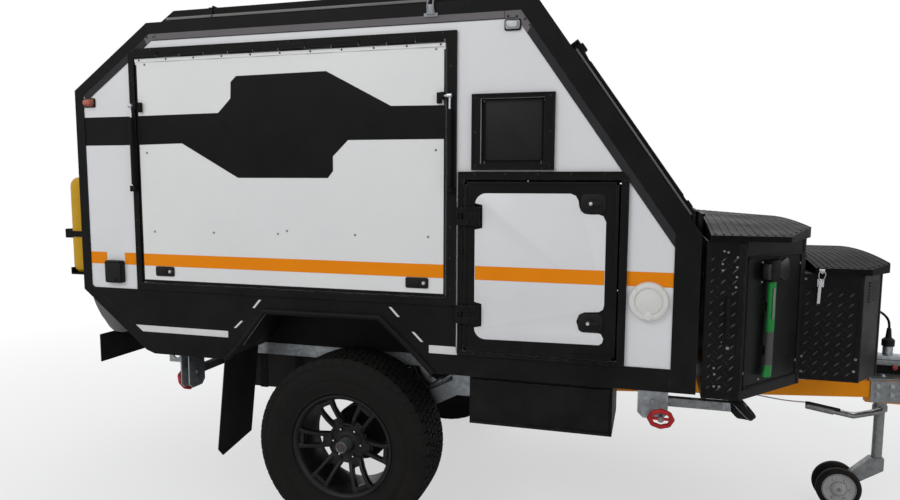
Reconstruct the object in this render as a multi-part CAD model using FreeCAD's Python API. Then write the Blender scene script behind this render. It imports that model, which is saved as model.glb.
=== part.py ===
import FreeCAD, Part
import math
import os
from FreeCAD import Vector

# An off-road camping trailer with a boxy, chamfered body, in millimetres.
# X points forward, Y to the left, Z up, and the ground is at Z 0.
# Every X below is measured from the wheel axle. The last step moves the whole
# trailer along X, so that its origin lies midway between tail and nose.

# Overall reach
tail_reach = 222
nose_reach = 550

# Wheels
tyre_radius = 401.5
tyre_width = 265
bead_radius = 216
rim_lip_radius = 234
rim_sheet = 7
wheel_set_in = 140
spoke_pairs = 6
spoke_turn_deg = 56
hub_radius = 88
hub_cap_radius = 27
hub_cap_reach = 70
lug_circle_radius = 66
lug_radius = 8
lug_count = 6
spoke_thickness = 26
spoke_set_in = 34
dish_depth = 22
stub_radius = 30
bead_width_share = 0.8
tread_width_share = 0.86
flank_width_share = 0.97
shoulder_drop_share = 0.1
window_start_share = 1.36
window_ends_shares = (0.2, 0.92)
slot_start_share = 1.5
slot_end_share = 0.9
slot_ends_shares = (0.18, 0.36)
wedge_share = 0.28
bead_height = 20
brake_drum_radius = 130
brake_drum_width = 60

# Body shell
body_half_width = 950
wall = 30
rail_sheet = 4
rear_x = -1308
rear_low_z = 1049
rear_slant_drop = 281
rear_slant_run = 405
body_height = 1475
slope_run = 619
body_front_x = 1450
slope_foot_z = 1373
body_bottom_z = 777
chamfer_run = 339
floor_thickness = 24

# Edge rails, one width for each edge of the outline
rear_rail_band = 46
roof_rail_band = 48
slope_rail_band = 75
front_rail_band = 92
rail_cap_width = 50

# Skirts and wheel arches
skirt_sheet = 4
skirt_top_z = 1060
skirt_drop = 15
skirt_low_rear_x = -925
skirt_low_front_x = -541
arch_rear_foot = (-474, 829)
arch_rear_top = (-345, 993)
arch_front_top = (198, 996)
arch_front_foot = (350, 858)
arch_end_x = 431
arch_lip_radius = 12
house_sheet = 4
house_depth = 160

# Openings, frames and panels of each side
panel_gap = 7
panel_thickness = 33
panel_proud = 8
frame_thickness = 12
hatch_rear_margin = 343
hatch_front_x = 480
hatch_low_z = 1099
hatch_head_drop = 155
hatch_rear_band = 35
hatch_front_band = 45
hatch_frame_low_z = 1062
hatch_head_band = 45
door_rear_x = 559
door_front_margin = 296
door_low_z = 885
door_head_band = 39
door_corner = 30
door_rear_band = 25
door_front_band = 36
door_frame_low_z = 865
door_window_gap = 6
window_step = 61
window_length = 251
window_height = 251
window_head_drop = 372
window_rear_band = 33
window_front_band = 39
window_foot_band = 24
window_head_band = 17
window_thickness = 18
window_set_in = 14

# Hinges of the side
knuckle_radius = 5
knuckle_gap = 0.3
hinge_leaf = 3
hatch_hinge_leaf_height = 22
hatch_knuckle_count = 12
door_hinge_radius = 7
door_hinge_height = 72
door_hinge_shares = (0.218, 0.799)
door_hinge_leaf_length = 68

# Gas struts of the side hatch
strut_tube_radius = 9
rod_radius = 4
strut_reach = 368
strut_head_drop = 205
strut_clearance = 7
strut_tube_share = 0.86
eye_radius = 9
eye_gap = 0.6
stud_radius = 4
strut_bracket_depth = 14
strut_bracket_height = 26
strut_bracket_sheet = 4

# Raised roof
roof_lip = 10
roof_rise = 53
fairing_step = 8
fairing_slant = 81
roof_split_x = -610
roof_lid_set_in = 91
roof_side_step = 70
roof_lid_sheet = 12
roof_opening_margin = 60
roof_knuckle_radius = 5
roof_knuckle_count = 6

# Cover on the front slope
cover_top_share = 0.19
cover_foot_share = 0.94
cover_side_step = 170
cover_thickness = 24
cover_seat = 3
cover_window_margin = 70
cover_knuckle_count = 5

# Tall front box
tall_box_gap = 20
tall_side_length = 130
tall_length = 390
tall_side_step = 20
tall_chamfer = 330
tall_low_z = 760
tall_rim_z = 1349
tall_lid_lip = 20
tall_lid_side_length = 272
tall_crown_rear = 61
tall_crown_front = 31
box_sheet = 5
lid_overhang = 14
lid_seat = 0.3
box_knuckle_radius = 6
box_knuckle_count = 5

# Small front box
small_box_gap = 2
small_side_length = 218
small_length = 328
small_side_step = 360
small_chamfer = 170
small_low_z = 770
small_rim_z = 1202
small_lid_lip = 24
small_lid_side_length = 235
small_lid_spread = 36
small_crown = 30
small_lid_rear_gap = 30

# Boxes slung under the floor
slung_rear_x = 580
slung_front_x = 1150
slung_low_z = 575
slung_set_in = 20
slung_rail_lap = 25
slung_rail_gap = 32
slung_step_z = 705
slung_flap_thickness = 12
slung_flap_margin = 12
slung_knuckle_count = 5

# Chassis
chassis_house_gap = 50
chassis_rail_width = 50
chassis_rail_height = 63
chassis_rail_sheet = 5
chassis_set_in = 10
cross_member_width = 50
cross_member_places = (-1190, -560, 430)
deep_member_steps = (60, 55)
tall_bearer_steps = (70, 320)
small_bearer_steps = (73, 248)
jack_plate_step = 203
jack_plate_length = 85
jack_plate_drop = 82
jack_plate_sheet = 10
jack_hole_radius = 20

# Drawbar
drawbar_rear_x = 900
drawbar_nose_gap = 340
drawbar_height = 75
drawbar_low_z = 605
drawbar_width = 45
drawbar_front_y = 100
drawbar_rail_gap = 179
gusset_behind = 164
gusset_ahead = 40
gusset_sheet = 8
nose_beam_width = 44
nose_beam_height = 60
nose_beam_behind = 138
nose_beam_set_in = 120
cheek_sheet = 6
cheek_drop = 22
coupling_bore_radius = 25.3
coupling_wall = 14
coupling_depth = 40
coupling_set_in = 14
coupling_body_height = 84
coupling_nose_height = 46
coupling_handle_length = 130

# Jockey wheel
jockey_ahead = 109
jockey_y = 52
jockey_tube_radius = 28
jockey_tube_low_z = 490
jockey_tube_high_z = 762
jockey_leg_radius = 22.5
jockey_leg_top_z = 526
jockey_trail = 165
jockey_wheel_radius = 100
jockey_wheel_width = 42
jockey_wheel_gap = 46
jockey_axle_radius = 8
fork_sheet = 6
fork_head_height = 60
clamp_sheet = 8
collar_height = 24
fork_clearance = 1.2
jockey_wheel_rounding = 10
crank_radius = 7

# Hand brake
lever_behind = 70
lever_y = -46
lever_pivot_z = 512
lever_knee_run = 120
lever_knee_z = 478
lever_run = 205
lever_grip_z = 492
lever_lug = 9
lever_radius = 11
grip_radius = 15
grip_length = 120
brake_rod_radius = 5
brake_rod_rear_x = 1240
brake_rod_z = 590

# Suspension
arm_pivot_x = 480
arm_pivot_z = 650
arm_width = 60
arm_height = 70
arm_pivot_radius = 34
hanger_sheet = 10
hanger_length = 110
hanger_low_z = 595
spring_x = 150
spring_radius = 55
spring_foot_z = 556
spring_bore_share = 0.75
shock_radius = 18
shock_body_share = 0.55
shock_eye_half = 20
shock_rod_radius = 9
shock_eye_radius = 23
shock_set_in = 52
shock_foot_x = 230
shock_foot_z = 545
shock_top_x = 440
shock_top_z = 690

# Water tank
tank_rear_x = -760
tank_front_x = -150
tank_rail_gap = 150
tank_low_z = 490
tank_rounding = 32

# Stabilisers
stab_front_margin = 150
stab_front_set_in = 150
stab_front_z = 700
stab_rear_x = -805
stab_rear_set_in = 108
stab_rear_z = 660
stab_leg_width = 34
stab_leg_length = 300
stab_foot_radius = 58
stab_foot_height = 22
stab_foot_neck = 30
stab_pivot_radius = 9
stab_ear = 6
stab_ear_gap = 1
stab_clamp_half = 58
stab_clamp_drop = 70
stab_clamp_corner = 22
spindle_ahead = 32
spindle_drop = 42
spindle_length = 40
spindle_radius = 8
spindle_tilt_deg = 28
spindle_seat_share = 0.8
handwheel_radius = 50
handwheel_sides = 8
handwheel_bar = 13

# Tail
valance_step = 78
valance_sheet = 6
valance_low_z = 700
valance_high_z = 832
bag_clearance = 0.4
bag_depth = 98
bag_run_share = 0.565
bag_profile_shares = (
    (0, 0), (0.02, 0.28), (0.3, 0.7), (0.56, 0.93), (0.75, 0.98), (0.9, 0.75), (0.97, 0.4), (1, 0))
bag_side_step = 20
flap_top_x = -552
flap_foot_x = -607
flap_sheet = 6
flap_side_step = 5
flap_reach = 138
flap_low_z = 292
flap_slant = 40
can_depth = 160
can_width = 340
can_height = 470
can_low_z = 1106
can_side_step = 100
can_rounding = 28
can_neck_radius = 26
can_neck_height = 22
can_handle_height = 24
can_handle_start_share = 0.34
can_handle_end_share = 0.82
can_handle_shares = (0.22, 0.5, 0.78)
can_shelf = 6
can_back_share = 0.8
can_strap_width = 28
can_strap_sheet = 4
can_strap_z = 1300
can_latch_height = 44

# Lamps, inlets and plates
lamp_depth = 22
side_lamp_step = 79
side_lamp_drop = 57
front_lamp_step = 88
front_lamp_drop = 102
lamp_length = 64
lamp_height = 42
tail_lamp_length = 210
tail_lamp_height = 90
tail_lamp_set_in = 190
water_inlet_margin = 178
water_inlet_z = 1118
water_inlet_radius = 73
water_inlet_depth = 22
power_inlet_step = 186
power_inlet_z = 1139
power_inlet_length = 96
power_inlet_height = 104
power_inlet_depth = 20
power_inlet_rounding = 11

# Axe on the slanted face of the tall box
axe_high_z = 1235
axe_low_z = 833
axe_head_length = 165
axe_head_height = 62
axe_head_thickness = 24
axe_handle_radius = 15
axe_stand_off = 20
axe_clip = 34
axe_place_share = 0.37
axe_poll_share = 0.3
axe_blade_share = 0.75
axe_clip_shares = (0.2, 0.62)

# Trailer lead, a hand-picked route from the small box to its parked plug
lead_radius = 5.5
lead_bend_share = 0.45
lead_points = (
    (2202.0, 0.0, 990.0), (2232.0, 0.0, 990.0), (2262.0, 0.0, 987.0), (2290.0, 1.0, 979.0),
    (2315.0, 1.0, 965.0), (2334.0, 1.0, 946.0), (2345.0, 0.0, 922.0), (2345.0, 0.0, 897.0))
gland_length = 12
gland_radius = 12
plug_neck_length = 42
plug_neck_radius = 9
plug_waist_radius = 13
plug_body_length = 40
plug_body_radius = 27
plug_socket_radius = 19
plug_shoulder_share = 0.3

overrun = 5
same_direction = 0.01


def boxed(x0, x1, y0, y1, z0, z1):
    low = Vector(min(x0, x1), min(y0, y1), min(z0, z1))
    return Part.makeBox(abs(x1 - x0), abs(y1 - y0), abs(z1 - z0), low)


def drawn(points, push):
    # A flat outline pushed along a vector.
    wire = Part.makePolygon([*points, points[0]])
    return Part.Face(wire).extrude(push)


def side_plate(points, y0, y1):
    low = min(y0, y1)
    corners = [Vector(x, low, z) for x, z in points]
    return drawn(corners, Vector(0, abs(y1 - y0), 0))


def top_plate(points, z0, z1):
    low = min(z0, z1)
    corners = [Vector(x, y, low) for x, y in points]
    return drawn(corners, Vector(0, 0, abs(z1 - z0)))


def cross_plate(points, x0, x1):
    low = min(x0, x1)
    corners = [Vector(low, y, z) for y, z in points]
    return drawn(corners, Vector(abs(x1 - x0), 0, 0))


def rod(start, end, radius):
    along = end - start
    return Part.makeCylinder(radius, along.Length, start, along)


def pipe(start, end, radius, bore):
    return rod(start, end, radius).cut(rod(start, end, bore))


def beam(start, end, width, height):
    # A square bar between two places, its height as near upright as it can be.
    along = end - start
    across = along.cross(Vector(0, 0, 1))
    across.normalize()
    up = across.cross(along)
    up.normalize()
    side = across * (width / 2)
    rise = up * (height / 2)
    corners = [start + side + rise, start - side + rise, start - side - rise, start + side - rise]
    return drawn(corners, along)


def fused(first, *others):
    return first.fuse(list(others)).removeSplitter()


def less(shape, *tools):
    return shape.cut(list(tools)) if tools else shape


def mirrored(shape):
    return shape.mirror(Vector(0, 0, 0), Vector(0, 1, 0))


def both_sides(*shapes):
    return [*shapes, *(mirrored(shape) for shape in shapes)]


def rounded(shape, radius, along):
    # Rounds the straight edges that run along one direction.
    chosen = []
    for edge in shape.Edges:
        if edge.Curve.TypeId == "Part::GeomLine":
            if edge.tangentAt(edge.FirstParameter).cross(along).Length < same_direction:
                chosen.append(edge)
    return shape.makeFillet(radius, chosen)


def inset(points, widths):
    # Moves each edge of a clockwise outline inwards by its own width.
    lines = []
    count = len(points)
    for index in range(count):
        x0, z0 = points[index]
        x1, z1 = points[(index + 1) % count]
        length = math.hypot(x1 - x0, z1 - z0)
        dx, dz = (x1 - x0) / length, (z1 - z0) / length
        lines.append((x0 + dz * widths[index], z0 - dx * widths[index], dx, dz))
    corners = []
    for index in range(count):
        ax, az, adx, adz = lines[index - 1]
        bx, bz, bdx, bdz = lines[index]
        along = ((bx - ax) * bdz - (bz - az) * bdx) / (adx * bdz - adz * bdx)
        corners.append((ax + adx * along, az + adz * along))
    return corners


# Directions, and places that follow from the sizes above
forward = Vector(1, 0, 0)
inboard = Vector(0, 1, 0)
upward = Vector(0, 0, 1)
roof_rear_x = rear_x + rear_slant_run
roof_front_x = body_front_x - slope_run
chamfer_foot_x = rear_x + chamfer_run
hatch_rear_x = rear_x + hatch_rear_margin
hatch_frame_rear_x = hatch_rear_x - hatch_rear_band
hatch_frame_front_x = hatch_front_x + hatch_front_band
door_front_x = body_front_x - door_front_margin
door_frame_front_x = door_front_x + door_front_band
door_frame_rear_x = door_rear_x - door_rear_band
window_rear_x = door_rear_x + window_step
window_front_x = window_rear_x + window_length
window_frame_rear_x = window_rear_x - window_rear_band
window_frame_front_x = window_front_x + window_front_band
fairing_rear_x = roof_rear_x + fairing_step
roof_lid_front_x = roof_front_x - roof_lid_set_in
tall_rear_x = body_front_x + tall_box_gap
tall_side_end_x = tall_rear_x + tall_side_length
tall_front_x = tall_rear_x + tall_length
tall_lid_side_end_x = tall_rear_x + tall_lid_side_length
small_rear_x = tall_front_x + small_box_gap
small_side_end_x = small_rear_x + small_side_length
small_front_x = small_rear_x + small_length
small_lid_side_end_x = small_rear_x + small_lid_side_length
tail_x = rear_x - tail_reach
nose_x = small_front_x + nose_reach
origin_shift = -(tail_x + nose_x) / 2
drawbar_front_x = nose_x - drawbar_nose_gap
gusset_rear_x = drawbar_front_x - gusset_behind
gusset_front_x = drawbar_front_x + gusset_ahead
nose_beam_rear_x = drawbar_front_x - nose_beam_behind
nose_beam_front_x = nose_x - nose_beam_set_in
coupling_rear_x = gusset_rear_x + coupling_set_in
lever_pivot_x = drawbar_front_x - lever_behind
lever_knee_x = lever_pivot_x - lever_knee_run
lever_grip_x = lever_pivot_x - lever_run
chassis_front_x = body_front_x - chassis_set_in
deep_member_places = (drawbar_rear_x + deep_member_steps[0], body_front_x - deep_member_steps[1])
tall_bearer_places = [tall_rear_x + step for step in tall_bearer_steps]
small_bearer_places = [small_rear_x + step for step in small_bearer_steps]
stab_front_x = body_front_x - stab_front_margin
valance_x = rear_x + valance_step
jack_plate_rear_x = rear_x + jack_plate_step
side_lamp_x = rear_x + side_lamp_step
power_inlet_x = rear_x + power_inlet_step
water_inlet_x = body_front_x - water_inlet_margin
front_lamp_x = roof_front_x - front_lamp_step
roof_z = body_bottom_z + body_height
rear_high_z = roof_z - rear_slant_drop
wheel_centre_y = body_half_width - wheel_set_in
house_inner_y = wheel_centre_y - house_depth
chassis_rail_y = house_inner_y - chassis_house_gap
arm_pivot_y = chassis_rail_y
shock_y = chassis_rail_y - shock_set_in
tank_half_width = chassis_rail_y - tank_rail_gap
hatch_high_z = roof_z - hatch_head_drop
hatch_frame_high_z = hatch_high_z + hatch_head_band
window_high_z = roof_z - window_head_drop
window_low_z = window_high_z - window_height
window_frame_high_z = window_high_z + window_head_band
window_frame_low_z = window_low_z - window_foot_band
door_frame_high_z = window_frame_low_z - door_window_gap
door_high_z = door_frame_high_z - door_head_band
door_hinge_places = [door_low_z + (door_high_z - door_low_z) * share for share in door_hinge_shares]
strut_high_z = hatch_high_z - strut_head_drop
strut_low_z = strut_high_z - strut_reach
side_lamp_z = rear_high_z - side_lamp_drop
front_lamp_z = roof_z - front_lamp_drop
roof_half_width = body_half_width - roof_side_step
cover_half_width = body_half_width - cover_side_step
tall_half_width = body_half_width - tall_side_step
tall_front_half_width = tall_half_width - tall_chamfer
small_half_width = tall_half_width - small_side_step
small_front_half_width = small_half_width - small_chamfer
small_lid_front_half_width = small_front_half_width + small_lid_spread
drawbar_rear_y = chassis_rail_y - drawbar_rail_gap
slung_outer_y = body_half_width - slung_set_in
slung_inner_y = chassis_rail_y - slung_rail_lap
slung_step_y = chassis_rail_y + slung_rail_gap
stab_front_y = body_half_width - stab_front_set_in
stab_rear_y = body_half_width - stab_rear_set_in
bag_half_width = body_half_width - bag_side_step
flap_outer_y = body_half_width - flap_side_step
flap_inner_y = wheel_centre_y - flap_reach
can_outer_y = body_half_width - can_side_step
tail_lamp_y = body_half_width - tail_lamp_set_in
jockey_x = gusset_rear_x + jockey_ahead
wall_inner_y = body_half_width - wall
rail_face_y = body_half_width + rail_sheet
frame_face_y = body_half_width + frame_thickness
panel_outer_y = body_half_width + panel_proud
panel_inner_y = panel_outer_y - panel_thickness
floor_top_z = body_bottom_z + floor_thickness
drawbar_top_z = drawbar_low_z + drawbar_height
rear_wall_end_x = rear_x + rail_sheet

outline = [
    (rear_x, rear_low_z), (rear_x, rear_high_z), (roof_rear_x, roof_z), (roof_front_x, roof_z),
    (body_front_x, slope_foot_z), (body_front_x, body_bottom_z), (chamfer_foot_x, body_bottom_z)]
sheet_inset = [rail_sheet, rail_sheet, rail_sheet, rail_sheet, rail_sheet, 0, rail_sheet]
wall_outline = inset(outline, sheet_inset)
room_outline = inset(outline, [rail_sheet + wall] * 5 + [floor_thickness, rail_sheet + wall])
rail_outline = inset(outline, [
    rear_rail_band, rear_rail_band, roof_rail_band, slope_rail_band, front_rail_band, 0, rear_rail_band])

slope_length = math.hypot(body_front_x - roof_front_x, roof_z - slope_foot_z)
slope_down = Vector((body_front_x - roof_front_x) / slope_length, 0, (slope_foot_z - roof_z) / slope_length)
slope_out = Vector(-slope_down.z, 0, slope_down.x)

bead_half_width = tyre_width / 2 * bead_width_share
spoke_face_y = spoke_set_in - bead_half_width
hub_face_y = spoke_face_y + dish_depth
hub_back_y = hub_face_y + spoke_thickness

arch_outline = [
    (skirt_low_front_x, body_bottom_z - skirt_drop), arch_rear_foot, arch_rear_top,
    arch_front_top, arch_front_foot, (arch_end_x, body_bottom_z)]


def arch_block(grow, y0, y1):
    # The wheel's space under the arch, open towards the ground.
    low = body_bottom_z - skirt_drop - overrun
    points = [
        (skirt_low_front_x - grow, low),
        (skirt_low_front_x - grow, body_bottom_z - skirt_drop),
        (arch_rear_foot[0] - grow, arch_rear_foot[1]),
        (arch_rear_top[0] - grow / 2, arch_rear_top[1] + grow),
        (arch_front_top[0] + grow / 2, arch_front_top[1] + grow),
        (arch_front_foot[0] + grow, arch_front_foot[1]),
        (arch_end_x + grow, body_bottom_z),
        (arch_end_x + grow, low)]
    return side_plate(points, y0, y1)


def opening(x0, x1, z0, z1, gap):
    deep = wall_inner_y - overrun
    return boxed(x0 - gap, x1 + gap, -deep, -frame_face_y - overrun, z0 - gap, z1 + gap)


def frame_bars(x0, x1, z0, z1, inner, gap):
    # Four separate bars round an opening: head, foot and two posts.
    ix0, ix1, iz0, iz1 = inner[0] - gap, inner[1] + gap, inner[2] - gap, inner[3] + gap
    y0, y1 = -body_half_width, -frame_face_y
    return [
        boxed(x0, x1, y0, y1, iz1, z1), boxed(x0, x1, y0, y1, z0, iz0),
        boxed(x0, ix0, y0, y1, iz0, iz1), boxed(ix1, x1, y0, y1, iz0, iz1)]


# Body panels

def side_wall():
    sheet = side_plate(wall_outline, -wall_inner_y, -body_half_width)
    return less(
        sheet,
        opening(hatch_rear_x, hatch_front_x, hatch_low_z, hatch_high_z, panel_gap),
        opening(door_rear_x, door_front_x, door_low_z, door_high_z, panel_gap),
        opening(window_rear_x, window_front_x, window_low_z, window_high_z, 0),
        arch_block(0, -wall_inner_y + overrun, -body_half_width - overrun))


def shell_ring():
    outer = side_plate(wall_outline, -wall_inner_y, wall_inner_y)
    room = side_plate(room_outline, -wall_inner_y - overrun, wall_inner_y + overrun)
    return outer.cut(room)


def shell_part(x0, x1, z0, z1):
    reach = wall_inner_y + overrun
    return shell_ring().common(boxed(x0, x1, -reach, reach, z0, z1))


def roof_panel():
    sheet = shell_part(roof_rear_x, roof_front_x, roof_z - wall * 2, roof_z)
    hole = boxed(
        roof_split_x + roof_opening_margin, roof_lid_front_x - roof_opening_margin,
        -roof_half_width + roof_opening_margin, roof_half_width - roof_opening_margin,
        roof_z - wall * 2, roof_z)
    return sheet.cut(hole)


def slope_place(share, out):
    start = Vector(roof_front_x, 0, roof_z)
    return start + slope_down * (slope_length * share) + slope_out * out


def cover_window():
    reach = cover_half_width - cover_window_margin
    edge = cover_window_margin / slope_length
    top = slope_place(cover_top_share + edge, overrun)
    foot = slope_place(cover_foot_share - edge, overrun)
    deep = slope_out * -(wall + rail_sheet + overrun * 2)
    side = Vector(0, reach, 0)
    return drawn([top - side, top + side, foot + side, foot - side], deep)


def front_wall():
    sheet = shell_part(roof_front_x, body_front_x, floor_top_z, roof_z)
    return sheet.cut(cover_window())


def rear_wall():
    return shell_part(rear_x, roof_rear_x, floor_top_z, roof_z)


def floor_panel():
    sheet = shell_part(rear_x, body_front_x, body_bottom_z, floor_top_z)
    bay = arch_block(house_sheet, -house_inner_y + house_sheet, -body_half_width)
    return less(sheet, bay, mirrored(bay))


def edge_rail():
    outer = side_plate(outline, -body_half_width, -rail_face_y)
    inner = side_plate(rail_outline, -body_half_width + overrun, -rail_face_y - overrun)
    flange = outer.cut(inner)
    cap_inner_y = -rail_face_y + rail_cap_width
    cap = side_plate(outline, -rail_face_y, cap_inner_y)
    room = side_plate(wall_outline, -rail_face_y - overrun, cap_inner_y + overrun)
    arch = arch_block(0, -wall_inner_y + overrun, -rail_face_y - overrun)
    return fused(flange, cap.cut(room)).cut(arch)


def roof_fairing():
    top_z = roof_z + roof_lip + roof_rise
    low_z = roof_z - rail_sheet
    points = [
        (fairing_rear_x, low_z), (fairing_rear_x, roof_z + roof_lip),
        (fairing_rear_x + fairing_slant, top_z), (roof_split_x - panel_gap / 2, top_z),
        (roof_split_x - panel_gap / 2, low_z)]
    return side_plate(points, -roof_half_width, roof_half_width)


def skirt():
    deep = body_bottom_z - skirt_drop
    plate = side_plate([
        (rear_x, rear_low_z), (rear_x, skirt_top_z), (hatch_frame_front_x, skirt_top_z),
        (hatch_frame_front_x, door_frame_low_z), (body_front_x, door_frame_low_z),
        (body_front_x, body_bottom_z), (arch_end_x, body_bottom_z),
        (skirt_low_front_x, deep), (skirt_low_rear_x, deep), (chamfer_foot_x, body_bottom_z)],
        -body_half_width, -body_half_width - skirt_sheet)
    band = side_plate(outline, -body_half_width + overrun, -rail_face_y - overrun).cut(
        side_plate(rail_outline, -body_half_width + overrun, -rail_face_y - overrun))
    plate = less(plate, band, arch_block(0, -body_half_width + overrun, -rail_face_y - overrun))
    return fused(plate, arch_lip())


def arch_lip():
    # A rounded bead that follows the edge of the arch.
    y = -body_half_width - skirt_sheet - arch_lip_radius / 2
    places = [Vector(x, y, z) for x, z in arch_outline]
    lip = rod(places[0], places[1], arch_lip_radius)
    pieces = [Part.makeSphere(arch_lip_radius, place) for place in places[1:-1]]
    pieces += [rod(a, b, arch_lip_radius) for a, b in zip(places[1:], places[2:])]
    bead = fused(lip, *pieces)
    keep = boxed(
        rear_x, body_front_x, -body_half_width - arch_lip_radius * 2, -body_half_width,
        body_bottom_z - skirt_drop, roof_z)
    return bead.common(keep)


def wheel_house():
    outer = arch_block(house_sheet, -house_inner_y + house_sheet, -wall_inner_y)
    inner = arch_block(0, -house_inner_y, -wall_inner_y - overrun)
    below = boxed(rear_x, body_front_x, 0, -body_half_width, 0, body_bottom_z)
    return less(outer, inner, below)


# Hatch, door and window of one side

def hatch_frame():
    inner = (hatch_rear_x, hatch_front_x, hatch_low_z, hatch_high_z)
    bars = frame_bars(
        hatch_frame_rear_x, hatch_frame_front_x, hatch_frame_low_z, hatch_frame_high_z, inner, panel_gap)
    clear = side_plate(rail_outline, -body_half_width + overrun, -frame_face_y - overrun)
    bars[0] = bars[0].common(clear)
    return bars


def door_frame():
    inner = (door_rear_x, door_front_x, door_low_z, door_high_z)
    bars = frame_bars(
        door_frame_rear_x, door_frame_front_x, door_frame_low_z, door_frame_high_z, inner, panel_gap)
    x, z = door_frame_front_x, door_frame_high_z
    snip = side_plate(
        [(x + overrun, z + overrun), (x + overrun, z - door_corner), (x - door_corner, z + overrun)],
        -body_half_width + overrun, -frame_face_y - overrun)
    bars[0] = bars[0].cut(snip)
    return bars


def window_frame():
    inner = (window_rear_x, window_front_x, window_low_z, window_high_z)
    return frame_bars(
        window_frame_rear_x, window_frame_front_x, window_frame_low_z, window_frame_high_z, inner, 0)


def window_panel():
    y0 = -body_half_width + window_set_in
    return boxed(
        window_rear_x, window_front_x, y0, y0 + window_thickness, window_low_z, window_high_z)


hatch_axis_y = -(frame_face_y + knuckle_radius + knuckle_gap)
hatch_axis_z = hatch_high_z + panel_gap


def hatch_knuckles():
    # Moving and fixed knuckles take turns along the piano hinge.
    fixed = []
    moving = []
    pitch = (hatch_front_x - hatch_rear_x) / hatch_knuckle_count
    for index in range(hatch_knuckle_count):
        start = Vector(hatch_rear_x + pitch * index + knuckle_gap, hatch_axis_y, hatch_axis_z)
        end = start + Vector(pitch - knuckle_gap * 2, 0, 0)
        (moving if index % 2 else fixed).append(rod(start, end, knuckle_radius))
    return fixed, moving


def hatch_fixed_leaf(knuckles):
    leaves = []
    for knuckle in knuckles:
        span = knuckle.BoundBox
        leaf = boxed(
            span.XMin, span.XMax, -frame_face_y, hatch_axis_y,
            hatch_axis_z, hatch_axis_z + knuckle_radius)
        back = boxed(
            span.XMin, span.XMax, -frame_face_y, -frame_face_y - hinge_leaf,
            hatch_axis_z, hatch_axis_z + hatch_hinge_leaf_height)
        leaves.append(fused(knuckle, leaf, back))
    return leaves


strut_y = -(frame_face_y + strut_clearance + strut_tube_radius)
strut_rear_x = (hatch_frame_rear_x + hatch_rear_x) / 2
strut_front_x = (hatch_frame_front_x + hatch_front_x) / 2


def hatch_panel():
    slab = boxed(
        hatch_rear_x, hatch_front_x, -panel_inner_y, -panel_outer_y, hatch_low_z, hatch_high_z)
    pieces = []
    for knuckle in hatch_knuckles()[1]:
        span = knuckle.BoundBox
        leaf = boxed(
            span.XMin, span.XMax, -panel_outer_y, hatch_axis_y,
            hatch_axis_z - knuckle_radius, hatch_axis_z)
        back = boxed(
            span.XMin, span.XMax, -panel_outer_y, -panel_outer_y - hinge_leaf,
            hatch_axis_z - hatch_hinge_leaf_height, hatch_axis_z)
        pieces += [knuckle, leaf, back]
    for edge_x, strut_x in ((hatch_rear_x, strut_rear_x), (hatch_front_x, strut_front_x)):
        turn = math.copysign(1, edge_x - strut_x)
        inner_x = edge_x + turn * strut_bracket_depth
        pieces.append(boxed(
            edge_x, inner_x, -panel_outer_y, strut_y - eye_radius,
            strut_high_z - strut_bracket_height / 2, strut_high_z + strut_bracket_height / 2))
        tip = strut_x + turn * (eye_radius + eye_gap)
        root = Vector(inner_x, strut_y, strut_high_z)
        pieces.append(rod(root, Vector(tip, strut_y, strut_high_z), stud_radius))
    return fused(slab, *pieces)


def strut_fixed_brackets():
    # The lower stud of each strut stands on its frame post, on the far side of the strut.
    brackets = []
    for edge_x, strut_x in ((hatch_rear_x, strut_rear_x), (hatch_front_x, strut_front_x)):
        turn = math.copysign(1, strut_x - edge_x)
        near = strut_x + turn * (eye_radius + eye_gap)
        far = near + turn * strut_bracket_sheet
        low, high = strut_low_z - strut_bracket_height / 2, strut_low_z + strut_bracket_height / 2
        brackets.append(boxed(near, far, -frame_face_y, strut_y - eye_radius, low, high))
    return brackets


def strut_split_z():
    return strut_low_z + (strut_high_z - strut_low_z) * strut_tube_share


def strut_tube(x):
    base = Vector(x, strut_y, strut_low_z)
    top = Vector(x, strut_y, strut_split_z())
    body = pipe(base + Vector(0, 0, eye_radius * 2), top, strut_tube_radius, rod_radius + knuckle_gap)
    neck = rod(base, base + Vector(0, 0, eye_radius * 2), rod_radius)
    eye = rod(base - Vector(eye_radius, 0, 0), base + Vector(eye_radius, 0, 0), eye_radius)
    return fused(eye, neck, body)


def strut_rod(x):
    top = Vector(x, strut_y, strut_high_z)
    low = Vector(x, strut_y, strut_low_z + eye_radius * 2 + strut_bracket_sheet)
    eye = rod(top - Vector(eye_radius, 0, 0), top + Vector(eye_radius, 0, 0), eye_radius)
    return fused(eye, rod(low, top, rod_radius))


door_axis_x = door_frame_rear_x
door_axis_y = -(frame_face_y + door_hinge_radius)


def door_hinge(z):
    # The middle knuckle belongs to the frame, the outer two to the door.
    third = door_hinge_height / 3
    low = z - door_hinge_height / 2

    def knuckle(index):
        start = Vector(door_axis_x, door_axis_y, low + third * index + knuckle_gap)
        return rod(start, start + Vector(0, 0, third - knuckle_gap * 2), door_hinge_radius)

    def leaf(index, x1, y0):
        z0 = low + third * index + knuckle_gap
        return boxed(door_axis_x, x1, y0, y0 - hinge_leaf, z0, z0 + third - knuckle_gap * 2)

    frame_leaf_x = door_rear_x - panel_gap
    fixed = fused(knuckle(1), boxed(
        door_axis_x, frame_leaf_x, -frame_face_y, door_axis_y,
        low + third + knuckle_gap, low + third * 2 - knuckle_gap))
    arm_y = door_axis_y - door_hinge_radius + hinge_leaf
    arms = []
    for index in (0, 2):
        arms.append(knuckle(index))
        arms.append(leaf(index, door_rear_x + door_hinge_leaf_length, arm_y))
    foot = boxed(
        door_rear_x, door_rear_x + door_hinge_leaf_length, -panel_outer_y, arm_y,
        low + knuckle_gap, low + door_hinge_height - knuckle_gap)
    return fixed, fused(foot, *arms)


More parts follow.
